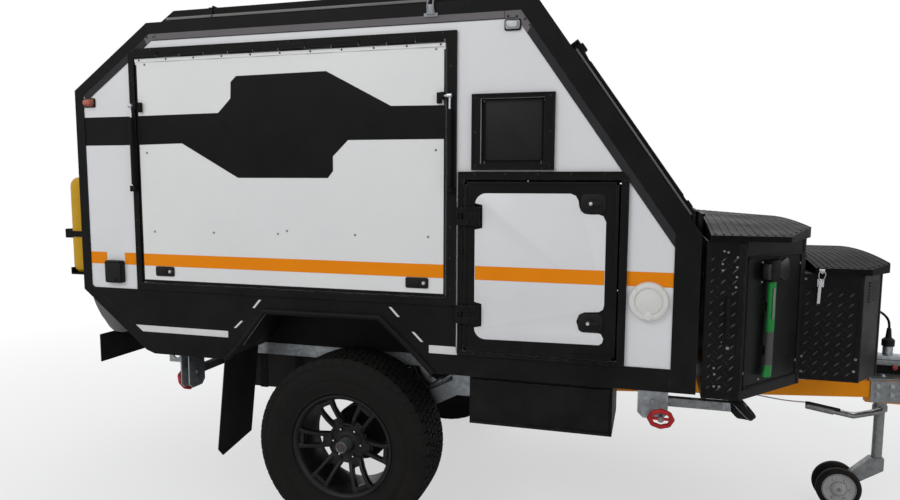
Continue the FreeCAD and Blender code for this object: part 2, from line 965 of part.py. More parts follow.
def door_panel():
    slab = boxed(
        door_rear_x, door_front_x, -panel_inner_y, -panel_outer_y, door_low_z, door_high_z)
    hinges = [door_hinge(z)[1] for z in door_hinge_places]
    return fused(slab, *hinges)


# Raised roof and front cover

roof_axis_z = roof_z + roof_lip + roof_rise + roof_knuckle_radius
roof_axis_x = roof_split_x


def roof_knuckles():
    fixed = []
    moving = []
    pitch = roof_half_width * 2 / roof_knuckle_count
    for index in range(roof_knuckle_count):
        start = Vector(roof_axis_x, -roof_half_width + pitch * index + knuckle_gap, roof_axis_z)
        end = start + Vector(0, pitch - knuckle_gap * 2, 0)
        (moving if index % 2 else fixed).append(rod(start, end, roof_knuckle_radius))
    return fixed, moving


def roof_hinge_leaf(knuckle, toward_x):
    span = knuckle.BoundBox
    return fused(knuckle, boxed(
        roof_axis_x, toward_x, span.YMin, span.YMax,
        roof_axis_z - roof_knuckle_radius, roof_axis_z - roof_knuckle_radius + hinge_leaf))


def roof_lid():
    low_z = roof_z + roof_lip
    top_z = low_z + roof_rise
    x0 = roof_split_x + panel_gap / 2
    skin = roof_lid_sheet
    outer = boxed(x0, roof_lid_front_x, -roof_half_width, roof_half_width, low_z, top_z)
    room = boxed(
        x0 + skin, roof_lid_front_x - skin, -roof_half_width + skin, roof_half_width - skin,
        low_z - overrun, top_z - skin)
    leaves = [roof_hinge_leaf(k, x0 + hatch_hinge_leaf_height) for k in roof_knuckles()[1]]
    return fused(outer.cut(room), *leaves)


def roof_curb():
    # The upstand that the raised lid sits on.
    x0 = roof_split_x + panel_gap / 2
    margin = roof_lid_sheet
    outer = boxed(
        x0 + margin, roof_lid_front_x - margin, -roof_half_width + margin, roof_half_width - margin,
        roof_z - rail_sheet, roof_z + roof_lip - lid_seat)
    hole = boxed(
        roof_split_x + roof_opening_margin, roof_lid_front_x - roof_opening_margin,
        -roof_half_width + roof_opening_margin, roof_half_width - roof_opening_margin,
        roof_z - rail_sheet - overrun, roof_z + roof_lip + overrun)
    return outer.cut(hole)


def front_cover():
    side = Vector(0, cover_half_width, 0)
    top = slope_place(cover_top_share, cover_seat)
    foot = slope_place(cover_foot_share, cover_seat)
    return drawn([top - side, top + side, foot + side, foot - side], slope_out * cover_thickness)


cover_axis = slope_place(cover_top_share, cover_seat + cover_thickness + knuckle_radius + knuckle_gap)


def cover_knuckles():
    fixed = []
    moving = []
    pitch = cover_half_width * 2 / cover_knuckle_count
    for index in range(cover_knuckle_count):
        start = cover_axis + Vector(0, -cover_half_width + pitch * index + knuckle_gap, 0)
        end = start + Vector(0, pitch - knuckle_gap * 2, 0)
        (moving if index % 2 else fixed).append(rod(start, end, knuckle_radius))
    return fixed, moving


def cover_hinge_block(knuckle):
    # A post that carries the fixed knuckle above the slope.
    span = knuckle.BoundBox
    low = Vector(0, span.YMin, 0)
    top = slope_place(cover_top_share, -rail_sheet)
    back = top - slope_down * (knuckle_radius * 2 + panel_gap)
    rise = slope_out * (cover_seat + cover_thickness + knuckle_radius * 2 + rail_sheet)
    near = top - slope_down * panel_gap
    post = drawn([near + low, back + low, back + low + rise, near + low + rise], Vector(0, span.YLength, 0))
    arm_rise = slope_out * (cover_seat + cover_thickness + rail_sheet + knuckle_radius)
    foot = near + low + arm_rise
    arm = drawn([
        foot, foot + slope_down * panel_gap, foot + slope_down * panel_gap + slope_out * knuckle_radius,
        foot + slope_out * knuckle_radius], Vector(0, span.YLength, 0))
    return fused(post, arm, knuckle)


def cover_hinge_leaf(knuckle):
    span = knuckle.BoundBox
    low = Vector(0, span.YMin, 0)
    top = slope_place(cover_top_share, cover_seat + cover_thickness) + low
    length = slope_down * hatch_hinge_leaf_height
    rise = slope_out * hinge_leaf
    leaf = drawn([top, top + length, top + length + rise, top + rise], inboard * span.YLength)
    return fused(knuckle, leaf)


# Front boxes

def box_plan(rear, side_end, front, half, front_half, grow):
    return [
        (rear, -half - grow), (side_end + grow / 2, -half - grow), (front + grow, -front_half - grow / 2),
        (front + grow, front_half + grow / 2), (side_end + grow / 2, half + grow), (rear, half + grow)]


def open_box(plan, inner_plan, low_z, rim_z):
    # A floor, and on it one sheet for each side, mitred where two of them meet.
    plates = [top_plate(plan, low_z, low_z + box_sheet)]
    for index in range(len(plan)):
        after = (index + 1) % len(plan)
        plates.append(top_plate(
            [plan[index], plan[after], inner_plan[after], inner_plan[index]], low_z + box_sheet, rim_z))
    return plates


def tall_box():
    outer = box_plan(tall_rear_x, tall_side_end_x, tall_front_x, tall_half_width, tall_front_half_width, 0)
    inner = box_plan(
        tall_rear_x + box_sheet, tall_side_end_x - box_sheet / 2, tall_front_x - box_sheet,
        tall_half_width - box_sheet, tall_front_half_width - box_sheet, 0)
    return open_box(outer, inner, tall_low_z, tall_rim_z)


def small_box():
    outer = box_plan(
        small_rear_x, small_side_end_x, small_front_x, small_half_width, small_front_half_width, 0)
    inner = box_plan(
        small_rear_x + box_sheet, small_side_end_x - box_sheet / 2, small_front_x - box_sheet,
        small_half_width - box_sheet, small_front_half_width - box_sheet, 0)
    ledge = boxed(
        small_rear_x + box_sheet, small_axis.x, -small_half_width + box_sheet,
        small_half_width - box_sheet, small_rim_z - box_sheet, small_rim_z)
    return [*open_box(outer, inner, small_low_z, small_rim_z), ledge]


def crowned_lid(rear, side_end, front, half, front_half, low_z, lip, crown_rear, crown_front):
    # A hollow lid: its plan stands over the box, and its top bows up between the sides.
    high = low_z + lip + max(crown_rear, crown_front)
    skirt_block = top_plate(box_plan(rear, side_end, front, half, front_half, lid_overhang), low_z, high)
    reach = half + lid_overhang
    width = reach + overrun

    def bow(x, drop):
        lift = crown_rear + (crown_front - crown_rear) * (x - rear) / (front - rear)
        edge_z = low_z + lip - drop
        arc = Part.Arc(
            Vector(x, -width, edge_z), Vector(x, 0, edge_z + lift), Vector(x, width, edge_z)).toShape()
        deep = low_z - overrun * 2
        sides = Part.makePolygon([
            Vector(x, width, edge_z), Vector(x, width, deep), Vector(x, -width, deep),
            Vector(x, -width, edge_z)])
        return Part.Wire([arc, *sides.Edges])

    over = front + lid_overhang + overrun
    hull = Part.makeLoft([bow(rear - overrun, 0), bow(over, 0)], True, True)
    inside = Part.makeLoft([bow(rear - overrun, box_sheet), bow(over, box_sheet)], True, True)
    inner_plan = box_plan(
        rear + box_sheet, side_end, front, half, front_half, lid_overhang - box_sheet)
    hollow = top_plate(inner_plan, low_z - overrun, high).common(inside)
    return skirt_block.common(hull).cut(hollow)


def lid_hinge(axis, half):
    # Knuckles across the rear edge; every other one moves with the lid.
    fixed = []
    moving = []
    pitch = half * 2 / box_knuckle_count
    for index in range(box_knuckle_count):
        start = axis + Vector(0, -half + pitch * index + knuckle_gap, 0)
        end = start + Vector(0, pitch - knuckle_gap * 2, 0)
        knuckle = rod(start, end, box_knuckle_radius)
        (moving if index % 2 else fixed).append(knuckle)
    return fixed, moving


tall_lid_low_z = tall_rim_z + lid_seat
tall_axis = Vector(tall_rear_x + box_knuckle_radius, 0, tall_lid_low_z + tall_lid_lip + tall_crown_rear)
small_lid_low_z = small_rim_z + lid_seat
small_lid_rear_x = small_rear_x + small_lid_rear_gap
small_axis = Vector(
    small_lid_rear_x + box_knuckle_radius, 0, small_lid_low_z + small_lid_lip + small_crown)


def hinge_strip(axis, half, low_z, knuckles):
    # An upright strip on the box's rear rim, which holds the fixed knuckles.
    pieces = []
    for knuckle in knuckles:
        span = knuckle.BoundBox
        pieces.append(fused(knuckle, boxed(
            axis.x - box_knuckle_radius, axis.x, span.YMin, span.YMax, low_z, axis.z)))
    return pieces


def lid_leaves(axis, low_z, knuckles):
    # Plates on the lid's rear face, which carry the moving knuckles.
    pieces = []
    for knuckle in knuckles:
        span = knuckle.BoundBox
        pieces += [knuckle, boxed(
            axis.x, axis.x + box_knuckle_radius, span.YMin, span.YMax, low_z, axis.z)]
    return pieces


def tall_lid(knuckles):
    shell = crowned_lid(
        tall_axis.x + box_knuckle_radius, tall_lid_side_end_x, tall_front_x, tall_half_width,
        tall_front_half_width, tall_lid_low_z, tall_lid_lip, tall_crown_rear, tall_crown_front)
    return fused(shell, *lid_leaves(tall_axis, tall_lid_low_z, knuckles))


def small_lid(knuckles):
    shell = crowned_lid(
        small_axis.x + box_knuckle_radius, small_lid_side_end_x, small_front_x, small_half_width,
        small_lid_front_half_width, small_lid_low_z, small_lid_lip, small_crown, small_crown)
    return fused(shell, *lid_leaves(small_axis, small_lid_low_z, knuckles))


# Boxes slung under the floor

def slung_outline(drop):
    outer, step_y, inner = -slung_outer_y + drop, -slung_step_y - drop, -slung_inner_y - drop
    top = body_bottom_z - drop
    step_z, low = slung_step_z - drop, slung_low_z + drop
    return [(outer, low), (outer, top), (step_y, top), (step_y, step_z), (inner, step_z), (inner, low)]


def slung_box():
    body = cross_plate(slung_outline(0), slung_rear_x, slung_front_x)
    room = cross_plate(slung_outline(box_sheet), slung_rear_x + box_sheet, slung_front_x - box_sheet)
    door_way = boxed(
        slung_rear_x + slung_flap_margin * 2, slung_front_x - slung_flap_margin * 2,
        -slung_outer_y - overrun, -slung_outer_y + box_sheet + overrun,
        slung_low_z + slung_flap_margin * 2, body_bottom_z - slung_flap_margin * 2)
    return less(body, room, door_way)


slung_axis_y = -(slung_outer_y + lid_seat + slung_flap_thickness + knuckle_radius)
slung_axis_z = slung_low_z + slung_flap_margin


def slung_knuckles():
    fixed = []
    moving = []
    x0 = slung_rear_x + slung_flap_margin
    pitch = (slung_front_x - slung_rear_x - slung_flap_margin * 2) / slung_knuckle_count
    for index in range(slung_knuckle_count):
        start = Vector(x0 + pitch * index + knuckle_gap, slung_axis_y, slung_axis_z)
        end = start + Vector(pitch - knuckle_gap * 2, 0, 0)
        (moving if index % 2 else fixed).append(rod(start, end, knuckle_radius))
    return fixed, moving


def slung_hinge_leaf(knuckle):
    span = knuckle.BoundBox
    return fused(knuckle, boxed(
        span.XMin, span.XMax, slung_axis_y, -slung_outer_y, slung_axis_z - knuckle_radius,
        slung_axis_z - knuckle_radius + hinge_leaf))


def slung_flap():
    outer_y = -slung_outer_y - lid_seat - slung_flap_thickness
    slab = boxed(
        slung_rear_x + slung_flap_margin, slung_front_x - slung_flap_margin,
        -slung_outer_y - lid_seat, outer_y, slung_axis_z, body_bottom_z - skirt_drop)
    leaves = []
    for knuckle in slung_knuckles()[1]:
        span = knuckle.BoundBox
        leaves += [knuckle, boxed(
            span.XMin, span.XMax, slung_axis_y, outer_y, slung_axis_z, slung_axis_z + knuckle_radius)]
    return fused(slab, *leaves)


# Chassis, drawbar and coupling

def channel(x0, x1, y_middle, width, height, top_z):
    # A box-section rail with its hollow left open at both ends.
    outer = boxed(x0, x1, y_middle - width / 2, y_middle + width / 2, top_z - height, top_z)
    sheet = chassis_rail_sheet
    hollow = boxed(
        x0 - overrun, x1 + overrun, y_middle - width / 2 + sheet, y_middle + width / 2 - sheet,
        top_z - height + sheet, top_z - sheet)
    return outer.cut(hollow)


def chassis():
    pieces = both_sides(channel(
        valance_x, chassis_front_x, -chassis_rail_y, chassis_rail_width, chassis_rail_height,
        body_bottom_z))
    reach = chassis_rail_y - chassis_rail_width / 2
    for x in cross_member_places:
        pieces.append(boxed(
            x - cross_member_width / 2, x + cross_member_width / 2, -reach, reach,
            body_bottom_z - chassis_rail_height, body_bottom_z))
    half = cross_member_width / 2
    for x in deep_member_places:
        pieces.append(boxed(x - half, x + half, -reach, reach, drawbar_top_z, body_bottom_z))
    pieces += [box_bearer(x, tall_low_z) for x in tall_bearer_places]
    pieces += [box_bearer(x, small_low_z) for x in small_bearer_places]
    pieces += both_sides(jack_plate())
    return pieces


def box_bearer(x, top_z):
    # A short cross bar that carries a front box on the drawbar.
    reach = drawbar_y_at(x) + drawbar_width / 2
    return boxed(x - cross_member_width / 2, x + cross_member_width / 2, -reach, reach, drawbar_top_z, top_z)


def jack_plate():
    # A pierced plate that hangs under the chassis rail behind the wheel.
    top_z = body_bottom_z - chassis_rail_height
    outer_y = -chassis_rail_y - chassis_rail_width / 2
    plate = boxed(
        jack_plate_rear_x, jack_plate_rear_x + jack_plate_length, outer_y, outer_y + jack_plate_sheet,
        top_z - jack_plate_drop, top_z)
    middle = Vector(jack_plate_rear_x + jack_plate_length / 2, outer_y, top_z - jack_plate_drop / 2)
    reach = inboard * (jack_plate_sheet + overrun)
    return plate.cut(rod(middle - reach, middle + reach, jack_hole_radius))


def drawbar_side():
    z = drawbar_low_z + drawbar_height / 2
    start = Vector(drawbar_rear_x, -drawbar_rear_y, z)
    end = Vector(drawbar_front_x, -drawbar_front_y, z)
    return beam(start, end, drawbar_width, drawbar_height)


def drawbar_y_at(x):
    share = (drawbar_front_x - x) / (drawbar_front_x - drawbar_rear_x)
    return drawbar_front_y + (drawbar_rear_y - drawbar_front_y) * share


def nose_beam():
    return boxed(
        nose_beam_rear_x, nose_beam_front_x, -nose_beam_width / 2, nose_beam_width / 2,
        drawbar_low_z - nose_beam_height, drawbar_low_z)


def gusset():
    # The plate on top of the drawbar's point, pierced for the jockey tube.
    rear_y = drawbar_y_at(gusset_rear_x) + drawbar_width / 2
    plate = top_plate([
        (gusset_rear_x, -rear_y), (gusset_front_x, -drawbar_front_y), (gusset_front_x, drawbar_front_y),
        (gusset_rear_x, rear_y)], drawbar_top_z, drawbar_top_z + gusset_sheet)
    middle = Vector(jockey_x, jockey_y, 0)
    return plate.cut(rod(middle, middle + Vector(0, 0, roof_z), jockey_tube_radius))


def coupling():
    # A ball coupling: a deep housing behind, a cup over the tow ball in front, a lift handle on top.
    low_z = drawbar_top_z + gusset_sheet
    high_z = low_z + coupling_body_height
    socket_x = nose_x - coupling_bore_radius - coupling_wall
    cup_top = low_z + coupling_nose_height
    cup = rod(
        Vector(socket_x, 0, low_z - coupling_depth), Vector(socket_x, 0, cup_top),
        coupling_bore_radius + coupling_wall)
    bore = rod(
        Vector(socket_x, 0, low_z - coupling_depth - overrun), Vector(socket_x, 0, low_z),
        coupling_bore_radius)
    body = side_plate([
        (coupling_rear_x, low_z), (coupling_rear_x, high_z), (gusset_front_x, high_z),
        (nose_beam_front_x, cup_top), (socket_x, cup_top), (socket_x, low_z)],
        -nose_beam_width / 2, nose_beam_width / 2)
    handle_foot = Vector(socket_x, 0, cup_top + crank_radius)
    handle_end = Vector(socket_x - coupling_handle_length, 0, high_z + crank_radius * 2)
    handle = beam(handle_foot, handle_end, nose_beam_width / 2, crank_radius * 2)
    return fused(cup, body, handle).cut(bore)


def coupling_bed():
    # The foot that carries the coupling head on the drawbar's point.
    return boxed(
        gusset_front_x, nose_beam_front_x + gusset_sheet, -nose_beam_width / 2, nose_beam_width / 2,
        drawbar_low_z, drawbar_top_z + gusset_sheet)


def drawbar_cheek():
    # A bolted plate along the outer face of the drawbar's point.
    z = (drawbar_low_z - cheek_drop + drawbar_top_z) / 2
    start = Vector(gusset_rear_x, -drawbar_y_at(gusset_rear_x), z)
    end = Vector(drawbar_front_x, -drawbar_front_y, z)
    out = (end - start).cross(Vector(0, 0, 1))
    out.normalize()
    shift = out * (drawbar_width / 2 + cheek_sheet / 2)
    return beam(start + shift, end + shift, cheek_sheet, drawbar_top_z - drawbar_low_z + cheek_drop)


# Jockey wheel

wheel_axle_x = jockey_x - jockey_trail


def jockey_tube():
    # The outer tube with its cap and the block that holds it to the nose beam.
    low = Vector(jockey_x, jockey_y, jockey_tube_low_z)
    high = Vector(jockey_x, jockey_y, jockey_tube_high_z)
    block_half = jockey_tube_radius + clamp_sheet
    block = boxed(
        jockey_x - block_half, jockey_x + block_half, nose_beam_width / 2, jockey_y + jockey_tube_radius / 2,
        drawbar_low_z - nose_beam_height, drawbar_low_z)
    collar = rod(low, low + Vector(0, 0, collar_height), jockey_tube_radius + clamp_sheet / 2)
    bore = rod(low - Vector(0, 0, overrun), high - Vector(0, 0, clamp_sheet), jockey_leg_radius + knuckle_gap)
    return fused(rod(low, high, jockey_tube_radius), block, collar).cut(bore)


def jockey_leg():
    low = Vector(jockey_x, jockey_y, jockey_wheel_radius * 2 + fork_head_height)
    high = Vector(jockey_x, jockey_y, jockey_leg_top_z)
    return rod(low, high, jockey_leg_radius)


def jockey_fork():
    top_z = jockey_wheel_radius * 2 + fork_head_height - knuckle_gap
    head = rod(
        Vector(jockey_x, jockey_y, top_z - fork_sheet * 2), Vector(jockey_x, jockey_y, top_z),
        jockey_tube_radius)
    axle = Vector(wheel_axle_x, jockey_y, jockey_wheel_radius)
    half = jockey_wheel_gap / 2 - fork_clearance
    cheek_points = [
        (jockey_x + jockey_tube_radius, top_z), (jockey_x - jockey_tube_radius, top_z),
        (wheel_axle_x - jockey_axle_radius * 2, jockey_wheel_radius + jockey_axle_radius),
        (wheel_axle_x - jockey_axle_radius, jockey_wheel_radius - jockey_axle_radius * 2),
        (wheel_axle_x + jockey_axle_radius * 2, jockey_wheel_radius - jockey_axle_radius * 2),
        (jockey_x + jockey_tube_radius, top_z - fork_head_height)]
    blade = side_plate(cheek_points, jockey_y - half, jockey_y + half)
    reach = half + jockey_wheel_width + fork_sheet
    pin = rod(axle - Vector(0, reach, 0), axle + Vector(0, reach, 0), jockey_axle_radius)
    return fused(head, blade, pin)


def jockey_wheels():
    half = jockey_wheel_gap / 2
    bore = jockey_axle_radius + knuckle_gap
    wheels = []
    for turn in (-1, 1):
        near = Vector(wheel_axle_x, jockey_y + turn * half, jockey_wheel_radius)
        far = near + Vector(0, turn * jockey_wheel_width, 0)
        disc = rounded_disc(near, far, jockey_wheel_radius, jockey_wheel_rounding)
        wheels.append(disc.cut(rod(near, far, bore)))
    return wheels


def rounded_disc(near, far, radius, rounding):
    disc = rod(near, far, radius)
    rims = [edge for edge in disc.Edges if edge.Curve.TypeId == "Part::GeomCircle"]
    return disc.makeFillet(rounding, rims)


# Hand brake

def hand_brake():
    pivot = Vector(lever_pivot_x, lever_y, lever_pivot_z)
    knee = Vector(lever_knee_x, lever_y, lever_knee_z)
    grip = Vector(lever_grip_x, lever_y, lever_grip_z)
    along = grip - knee
    along.normalize()
    lever = fused(
        rod(pivot, knee, lever_radius), Part.makeSphere(lever_radius, knee),
        rod(knee, grip, lever_radius), rod(grip, grip + along * grip_length, grip_radius))
    lug_y = -nose_beam_width / 2
    boss = rod(pivot, Vector(pivot.x, lug_y, pivot.z), lever_radius)
    lug = boxed(
        pivot.x - grip_radius, pivot.x + grip_radius, lug_y, lug_y + lever_lug,
        pivot.z - grip_radius, drawbar_low_z - nose_beam_height)
    return fused(lever, boss, lug)


def brake_rod():
    start = Vector(brake_rod_rear_x, 0, brake_rod_z)
    end = Vector(nose_beam_rear_x, 0, brake_rod_z)
    return rod(start, end, brake_rod_radius)


# Suspension

def trailing_arm():
    pivot = Vector(arm_pivot_x, -arm_pivot_y, arm_pivot_z)
    axle = Vector(0, -arm_pivot_y, tyre_radius)
    arm = beam(pivot, axle, arm_width, arm_height)
    bush = rod(pivot - Vector(0, arm_width / 2, 0), pivot + Vector(0, arm_width / 2, 0), arm_pivot_radius)
    hub_y = -wheel_centre_y + hub_back_y + knuckle_gap
    stub = rod(axle, Vector(0, hub_y, tyre_radius), stub_radius)
    drum_y = -house_inner_y - brake_drum_width
    drum = rod(Vector(0, -house_inner_y, tyre_radius), Vector(0, drum_y, tyre_radius), brake_drum_radius)
    boss = rod(axle + Vector(0, arm_width / 2, 0), axle, stub_radius * 2)
    seat = boxed(
        spring_x - spring_radius, spring_x + spring_radius, -arm_pivot_y - arm_width / 2,
        -arm_pivot_y + arm_width / 2, arm_middle_z(spring_x), spring_foot_z)
    pin = rod(
        Vector(shock_foot_x, -arm_pivot_y, shock_foot_z), Vector(shock_foot_x, -shock_y, shock_foot_z),
        shock_rod_radius)
    return fused(arm, bush, stub, drum, boss, seat, pin)


def arm_middle_z(x):
    return tyre_radius + (arm_pivot_z - tyre_radius) * x / arm_pivot_x


def shock_absorber():
    foot = Vector(shock_foot_x, -shock_y + shock_eye_half, shock_foot_z)
    top = Vector(shock_top_x, -shock_y + shock_eye_half, shock_top_z)
    middle = foot + (top - foot) * shock_body_share
    eyes = [rod(
        place - Vector(0, shock_eye_half, 0), place + Vector(0, shock_eye_half, 0), shock_eye_radius)
        for place in (foot, top)]
    pin_y = -arm_pivot_y + arm_width / 2 + knuckle_gap + hanger_sheet
    pin = rod(top, Vector(top.x, pin_y, top.z), shock_rod_radius)
    return fused(rod(foot, middle, shock_radius), rod(middle, top, shock_rod_radius), pin, *eyes)


def hanger():
    # Two cheeks that hold the arm's pivot under the chassis rail.
    cheeks = []
    half = arm_width / 2 + knuckle_gap
    for turn in (-1, 1):
        near = -arm_pivot_y + turn * half
        cheeks.append(boxed(
            arm_pivot_x - hanger_length / 2, arm_pivot_x + hanger_length / 2, near,
            near + turn * hanger_sheet, hanger_low_z, body_bottom_z - chassis_rail_height))
    return cheeks


def spring_leg():
    top_z = body_bottom_z - chassis_rail_height
    return pipe(
        Vector(spring_x, -arm_pivot_y, spring_foot_z), Vector(spring_x, -arm_pivot_y, top_z),
        spring_radius, spring_radius * spring_bore_share)


# Tank, boxes and tail

def water_tank():
    tank = boxed(
        tank_rear_x, tank_front_x, -tank_half_width, tank_half_width, tank_low_z,
        body_bottom_z - chassis_rail_height)
    return rounded(tank, tank_rounding, inboard)


def mudflap():
    # A flap with cut corners, its foot further back than its head.
    lean = (flap_top_x - flap_foot_x) / (body_bottom_z - flap_low_z)
    corner_z = flap_low_z + flap_slant
    points = []
    for y, z in (
            (flap_outer_y, corner_z), (flap_outer_y - flap_slant, flap_low_z), (flap_inner_y, corner_z),
            (flap_inner_y, body_bottom_z), (flap_outer_y, body_bottom_z)):
        points.append(Vector(flap_foot_x + (z - flap_low_z) * lean, -y, z))
    return drawn(points, forward * -flap_sheet)


def rear_valance():
    return boxed(
        valance_x - valance_sheet, valance_x, -body_half_width, body_half_width,
        valance_low_z, valance_high_z)


def rear_bag():
    # A soft roll that lies along the lower rear slant.
    length = math.hypot(chamfer_foot_x - rear_x, rear_low_z - body_bottom_z)
    out = Vector(-(rear_low_z - body_bottom_z) / length, 0, -(chamfer_foot_x - rear_x) / length)
    along = Vector((chamfer_foot_x - rear_x) / length, 0, (body_bottom_z - rear_low_z) / length)
    start = Vector(rear_x, 0, rear_low_z) + out * bag_clearance + along * (rear_rail_band / 2)
    run = length * bag_run_share
    points = []
    for share, lift_share in bag_profile_shares:
        place = start + along * (run * share) + out * (bag_depth * lift_share)
        points.append((place.x, place.z))
    return side_plate(points, -bag_half_width, bag_half_width)


def jerrycan():
    back = rear_x - can_shelf
    body = boxed(
        back - can_depth, back, -can_outer_y, -can_outer_y + can_width, can_low_z, can_low_z + can_height)
    body = rounded(body, can_rounding, Vector(1, 0, 0))
    top = can_low_z + can_height
    middle = back - can_depth / 2
    neck_y = -can_outer_y + can_neck_radius * 2
    neck_foot = Vector(middle, neck_y, top - can_rounding)
    neck = rod(neck_foot, Vector(middle, neck_y, top + can_neck_height), can_neck_radius)
    handles = []
    span0 = -can_outer_y + can_width * can_handle_start_share
    span1 = -can_outer_y + can_width * can_handle_end_share
    bar = can_neck_height / 4
    for share in can_handle_shares:
        x = back - can_depth * share
        foot0, foot1 = Vector(x, span0, top), Vector(x, span1, top)
        rise = Vector(0, 0, can_handle_height)
        dip = Vector(0, 0, -can_rounding)
        handles += [
            rod(foot0 + dip, foot0 + rise, bar), rod(foot1 + dip, foot1 + rise, bar),
            rod(foot0 + rise, foot1 + rise, bar), Part.makeSphere(bar, foot0 + rise),
            Part.makeSphere(bar, foot1 + rise)]
    return fused(body, neck, *handles)


def jerrycan_holder():
    back = rear_wall_end_x
    clear = knuckle_gap
    far = rear_x - can_shelf - can_depth - clear
    y0 = -can_outer_y - clear - can_strap_sheet
    y1 = -can_outer_y + can_width + clear + can_strap_sheet
    shelf = boxed(far - can_strap_sheet, back, y0, y1, can_low_z - can_shelf, can_low_z - clear)
    back_plate = boxed(
        rear_x - can_shelf + clear, back, y0, y1, can_low_z - clear, can_low_z + can_height * can_back_share)
    z0 = can_strap_z - can_strap_width / 2
    z1 = can_strap_z + can_strap_width / 2
    band = boxed(far - can_strap_sheet, back, y0, y1, z0, z1).cut(
        boxed(far, back + overrun, y0 + can_strap_sheet, y1 - can_strap_sheet, z0 - overrun, z1 + overrun))
    latch_y = y0 + can_strap_width
    latch = boxed(
        tail_x, far - can_strap_sheet, latch_y, latch_y + can_latch_height,
        can_strap_z - can_latch_height / 2, can_strap_z + can_latch_height / 2)
    lip = boxed(far - can_strap_sheet, far, y0, y1, can_low_z - can_shelf, can_low_z + can_rounding)
    return fused(shelf, back_plate, band, latch, lip)


# Lamps and inlets

def small_lamp(x, z):
    return boxed(
        x - lamp_length / 2, x + lamp_length / 2, -body_half_width, -body_half_width - lamp_depth,
        z - lamp_height / 2, z + lamp_height / 2)


def tail_lamp():
    x1 = valance_x - valance_sheet
    mid_z = (valance_low_z + valance_high_z) / 2
    return boxed(
        x1 - lamp_depth, x1, -tail_lamp_y - tail_lamp_length / 2, -tail_lamp_y + tail_lamp_length / 2,
        mid_z - tail_lamp_height / 2, mid_z + tail_lamp_height / 2)


def water_inlet():
    near = Vector(water_inlet_x, -body_half_width, water_inlet_z)
    far = near - Vector(0, water_inlet_depth, 0)
    return rod(near, far, water_inlet_radius)


def power_inlet():
    body = boxed(
        power_inlet_x - power_inlet_length / 2, power_inlet_x + power_inlet_length / 2,
        -body_half_width, -body_half_width - power_inlet_depth,
        power_inlet_z - power_inlet_height / 2, power_inlet_z + power_inlet_height / 2)
    return rounded(body, power_inlet_rounding, inboard)


# Axe on its slanted face

face_rear = Vector(tall_side_end_x, -tall_half_width, 0)
face_front = Vector(tall_front_x, -tall_front_half_width, 0)
face_along = (face_front - face_rear)
face_along.normalize()
face_out = Vector(face_along.y, -face_along.x, 0)


def axe():
    middle = face_rear + (face_front - face_rear) * axe_place_share + face_out * axe_stand_off
    low = middle + Vector(0, 0, axe_low_z)
    high = middle + Vector(0, 0, axe_high_z)
    handle = rod(low, high, axe_handle_radius)
    half = face_out * (axe_head_thickness / 2)
    head_z = Vector(0, 0, axe_head_height)
    rear = high - face_along * (axe_head_length * axe_poll_share)
    front = rear + face_along * axe_head_length
    head = drawn([
        rear - half - head_z / 2, rear - half + head_z / 2, front - half + head_z * axe_blade_share,
        front - half - head_z * axe_blade_share], face_out * axe_head_thickness)
    return fused(handle, head)


def axe_clips():
    clips = []
    middle = face_rear + (face_front - face_rear) * axe_place_share
    for share in axe_clip_shares:
        z = axe_low_z + (axe_high_z - axe_low_z) * share
        start = middle + Vector(0, 0, z) - face_along * (axe_clip / 2)
        reach = face_out * (axe_stand_off - axe_handle_radius - knuckle_gap)
        clips.append(drawn([
            start, start + face_along * axe_clip, start + face_along * axe_clip + reach, start + reach],
            Vector(0, 0, axe_clip)))
    return clips


# Stabilisers

def stabiliser_leg(place, along, turn):
    # A stowed leg: a square tube with a tilted round foot, hung on a cross pin.
    end = place + along * stab_leg_length
    leg = beam(place - along * stab_pivot_radius * 2, end, stab_leg_width, stab_leg_width)
    middle = end + along * stab_foot_neck
    neck = rod(end, middle, stab_leg_width / 4)
    tilt = along + upward
    tilt.normalize()
    half = tilt * (stab_foot_height / 2)
    foot = rod(middle - half, middle + half, stab_foot_radius)
    reach = turn * (stab_leg_width / 2 + stab_ear)
    return fused(leg, neck, foot).cut(rod(place - reach, place + reach, stab_pivot_radius))


def stabiliser_clamp(place, along, turn):
    # Two plates with cut corners, joined by the pin that the leg swings on.
    half = stab_leg_width / 2 + stab_ear_gap
    reach, low, corner = stab_clamp_half, -stab_clamp_drop, stab_clamp_corner
    top = body_bottom_z - place.z
    outline = (
        (-reach, top), (-reach, low + corner), (-reach + corner, low), (reach - corner, low),
        (reach, low + corner), (reach, top))
    plates = []
    for side in (-1, 1):
        near = place + turn * (side * half)
        points = [near + along * ahead + upward * rise for ahead, rise in outline]
        plates.append(drawn(points, turn * (side * stab_ear)))
    pin_reach = turn * (half + stab_ear * 2)
    pin = rod(place - pin_reach, place + pin_reach, stab_pivot_radius - knuckle_gap)
    return fused(pin, *plates)


def handwheel(place, along, outward):
    # An open eight-sided ring with one bar across, on a screw that leans down out of the clamp.
    face = place + along * spindle_ahead - upward * spindle_drop
    face += outward * (stab_leg_width / 2 + stab_ear_gap + stab_ear * spindle_seat_share)
    tilt = math.radians(spindle_tilt_deg)
    out = outward * math.cos(tilt) - upward * math.sin(tilt)
    rise = upward * math.cos(tilt) + outward * math.sin(tilt)
    start = face + out * spindle_length
    outer = ring_outline(start, along, rise, handwheel_radius)
    inner = ring_outline(start - out * overrun, along, rise, handwheel_radius - handwheel_bar)
    ring = drawn(outer, out * handwheel_bar).cut(drawn(inner, out * (handwheel_bar + overrun * 2)))
    reach = along * (handwheel_radius - handwheel_bar / 2)
    middle = start + out * (handwheel_bar / 2)
    bar = rod(middle - reach, middle + reach, handwheel_bar / 4)
    screw = rod(face, start + out * handwheel_bar, spindle_radius)
    clamp_space = stabiliser_clamp(place, along, outward)
    return fused(screw, ring, bar).cut(clamp_space)


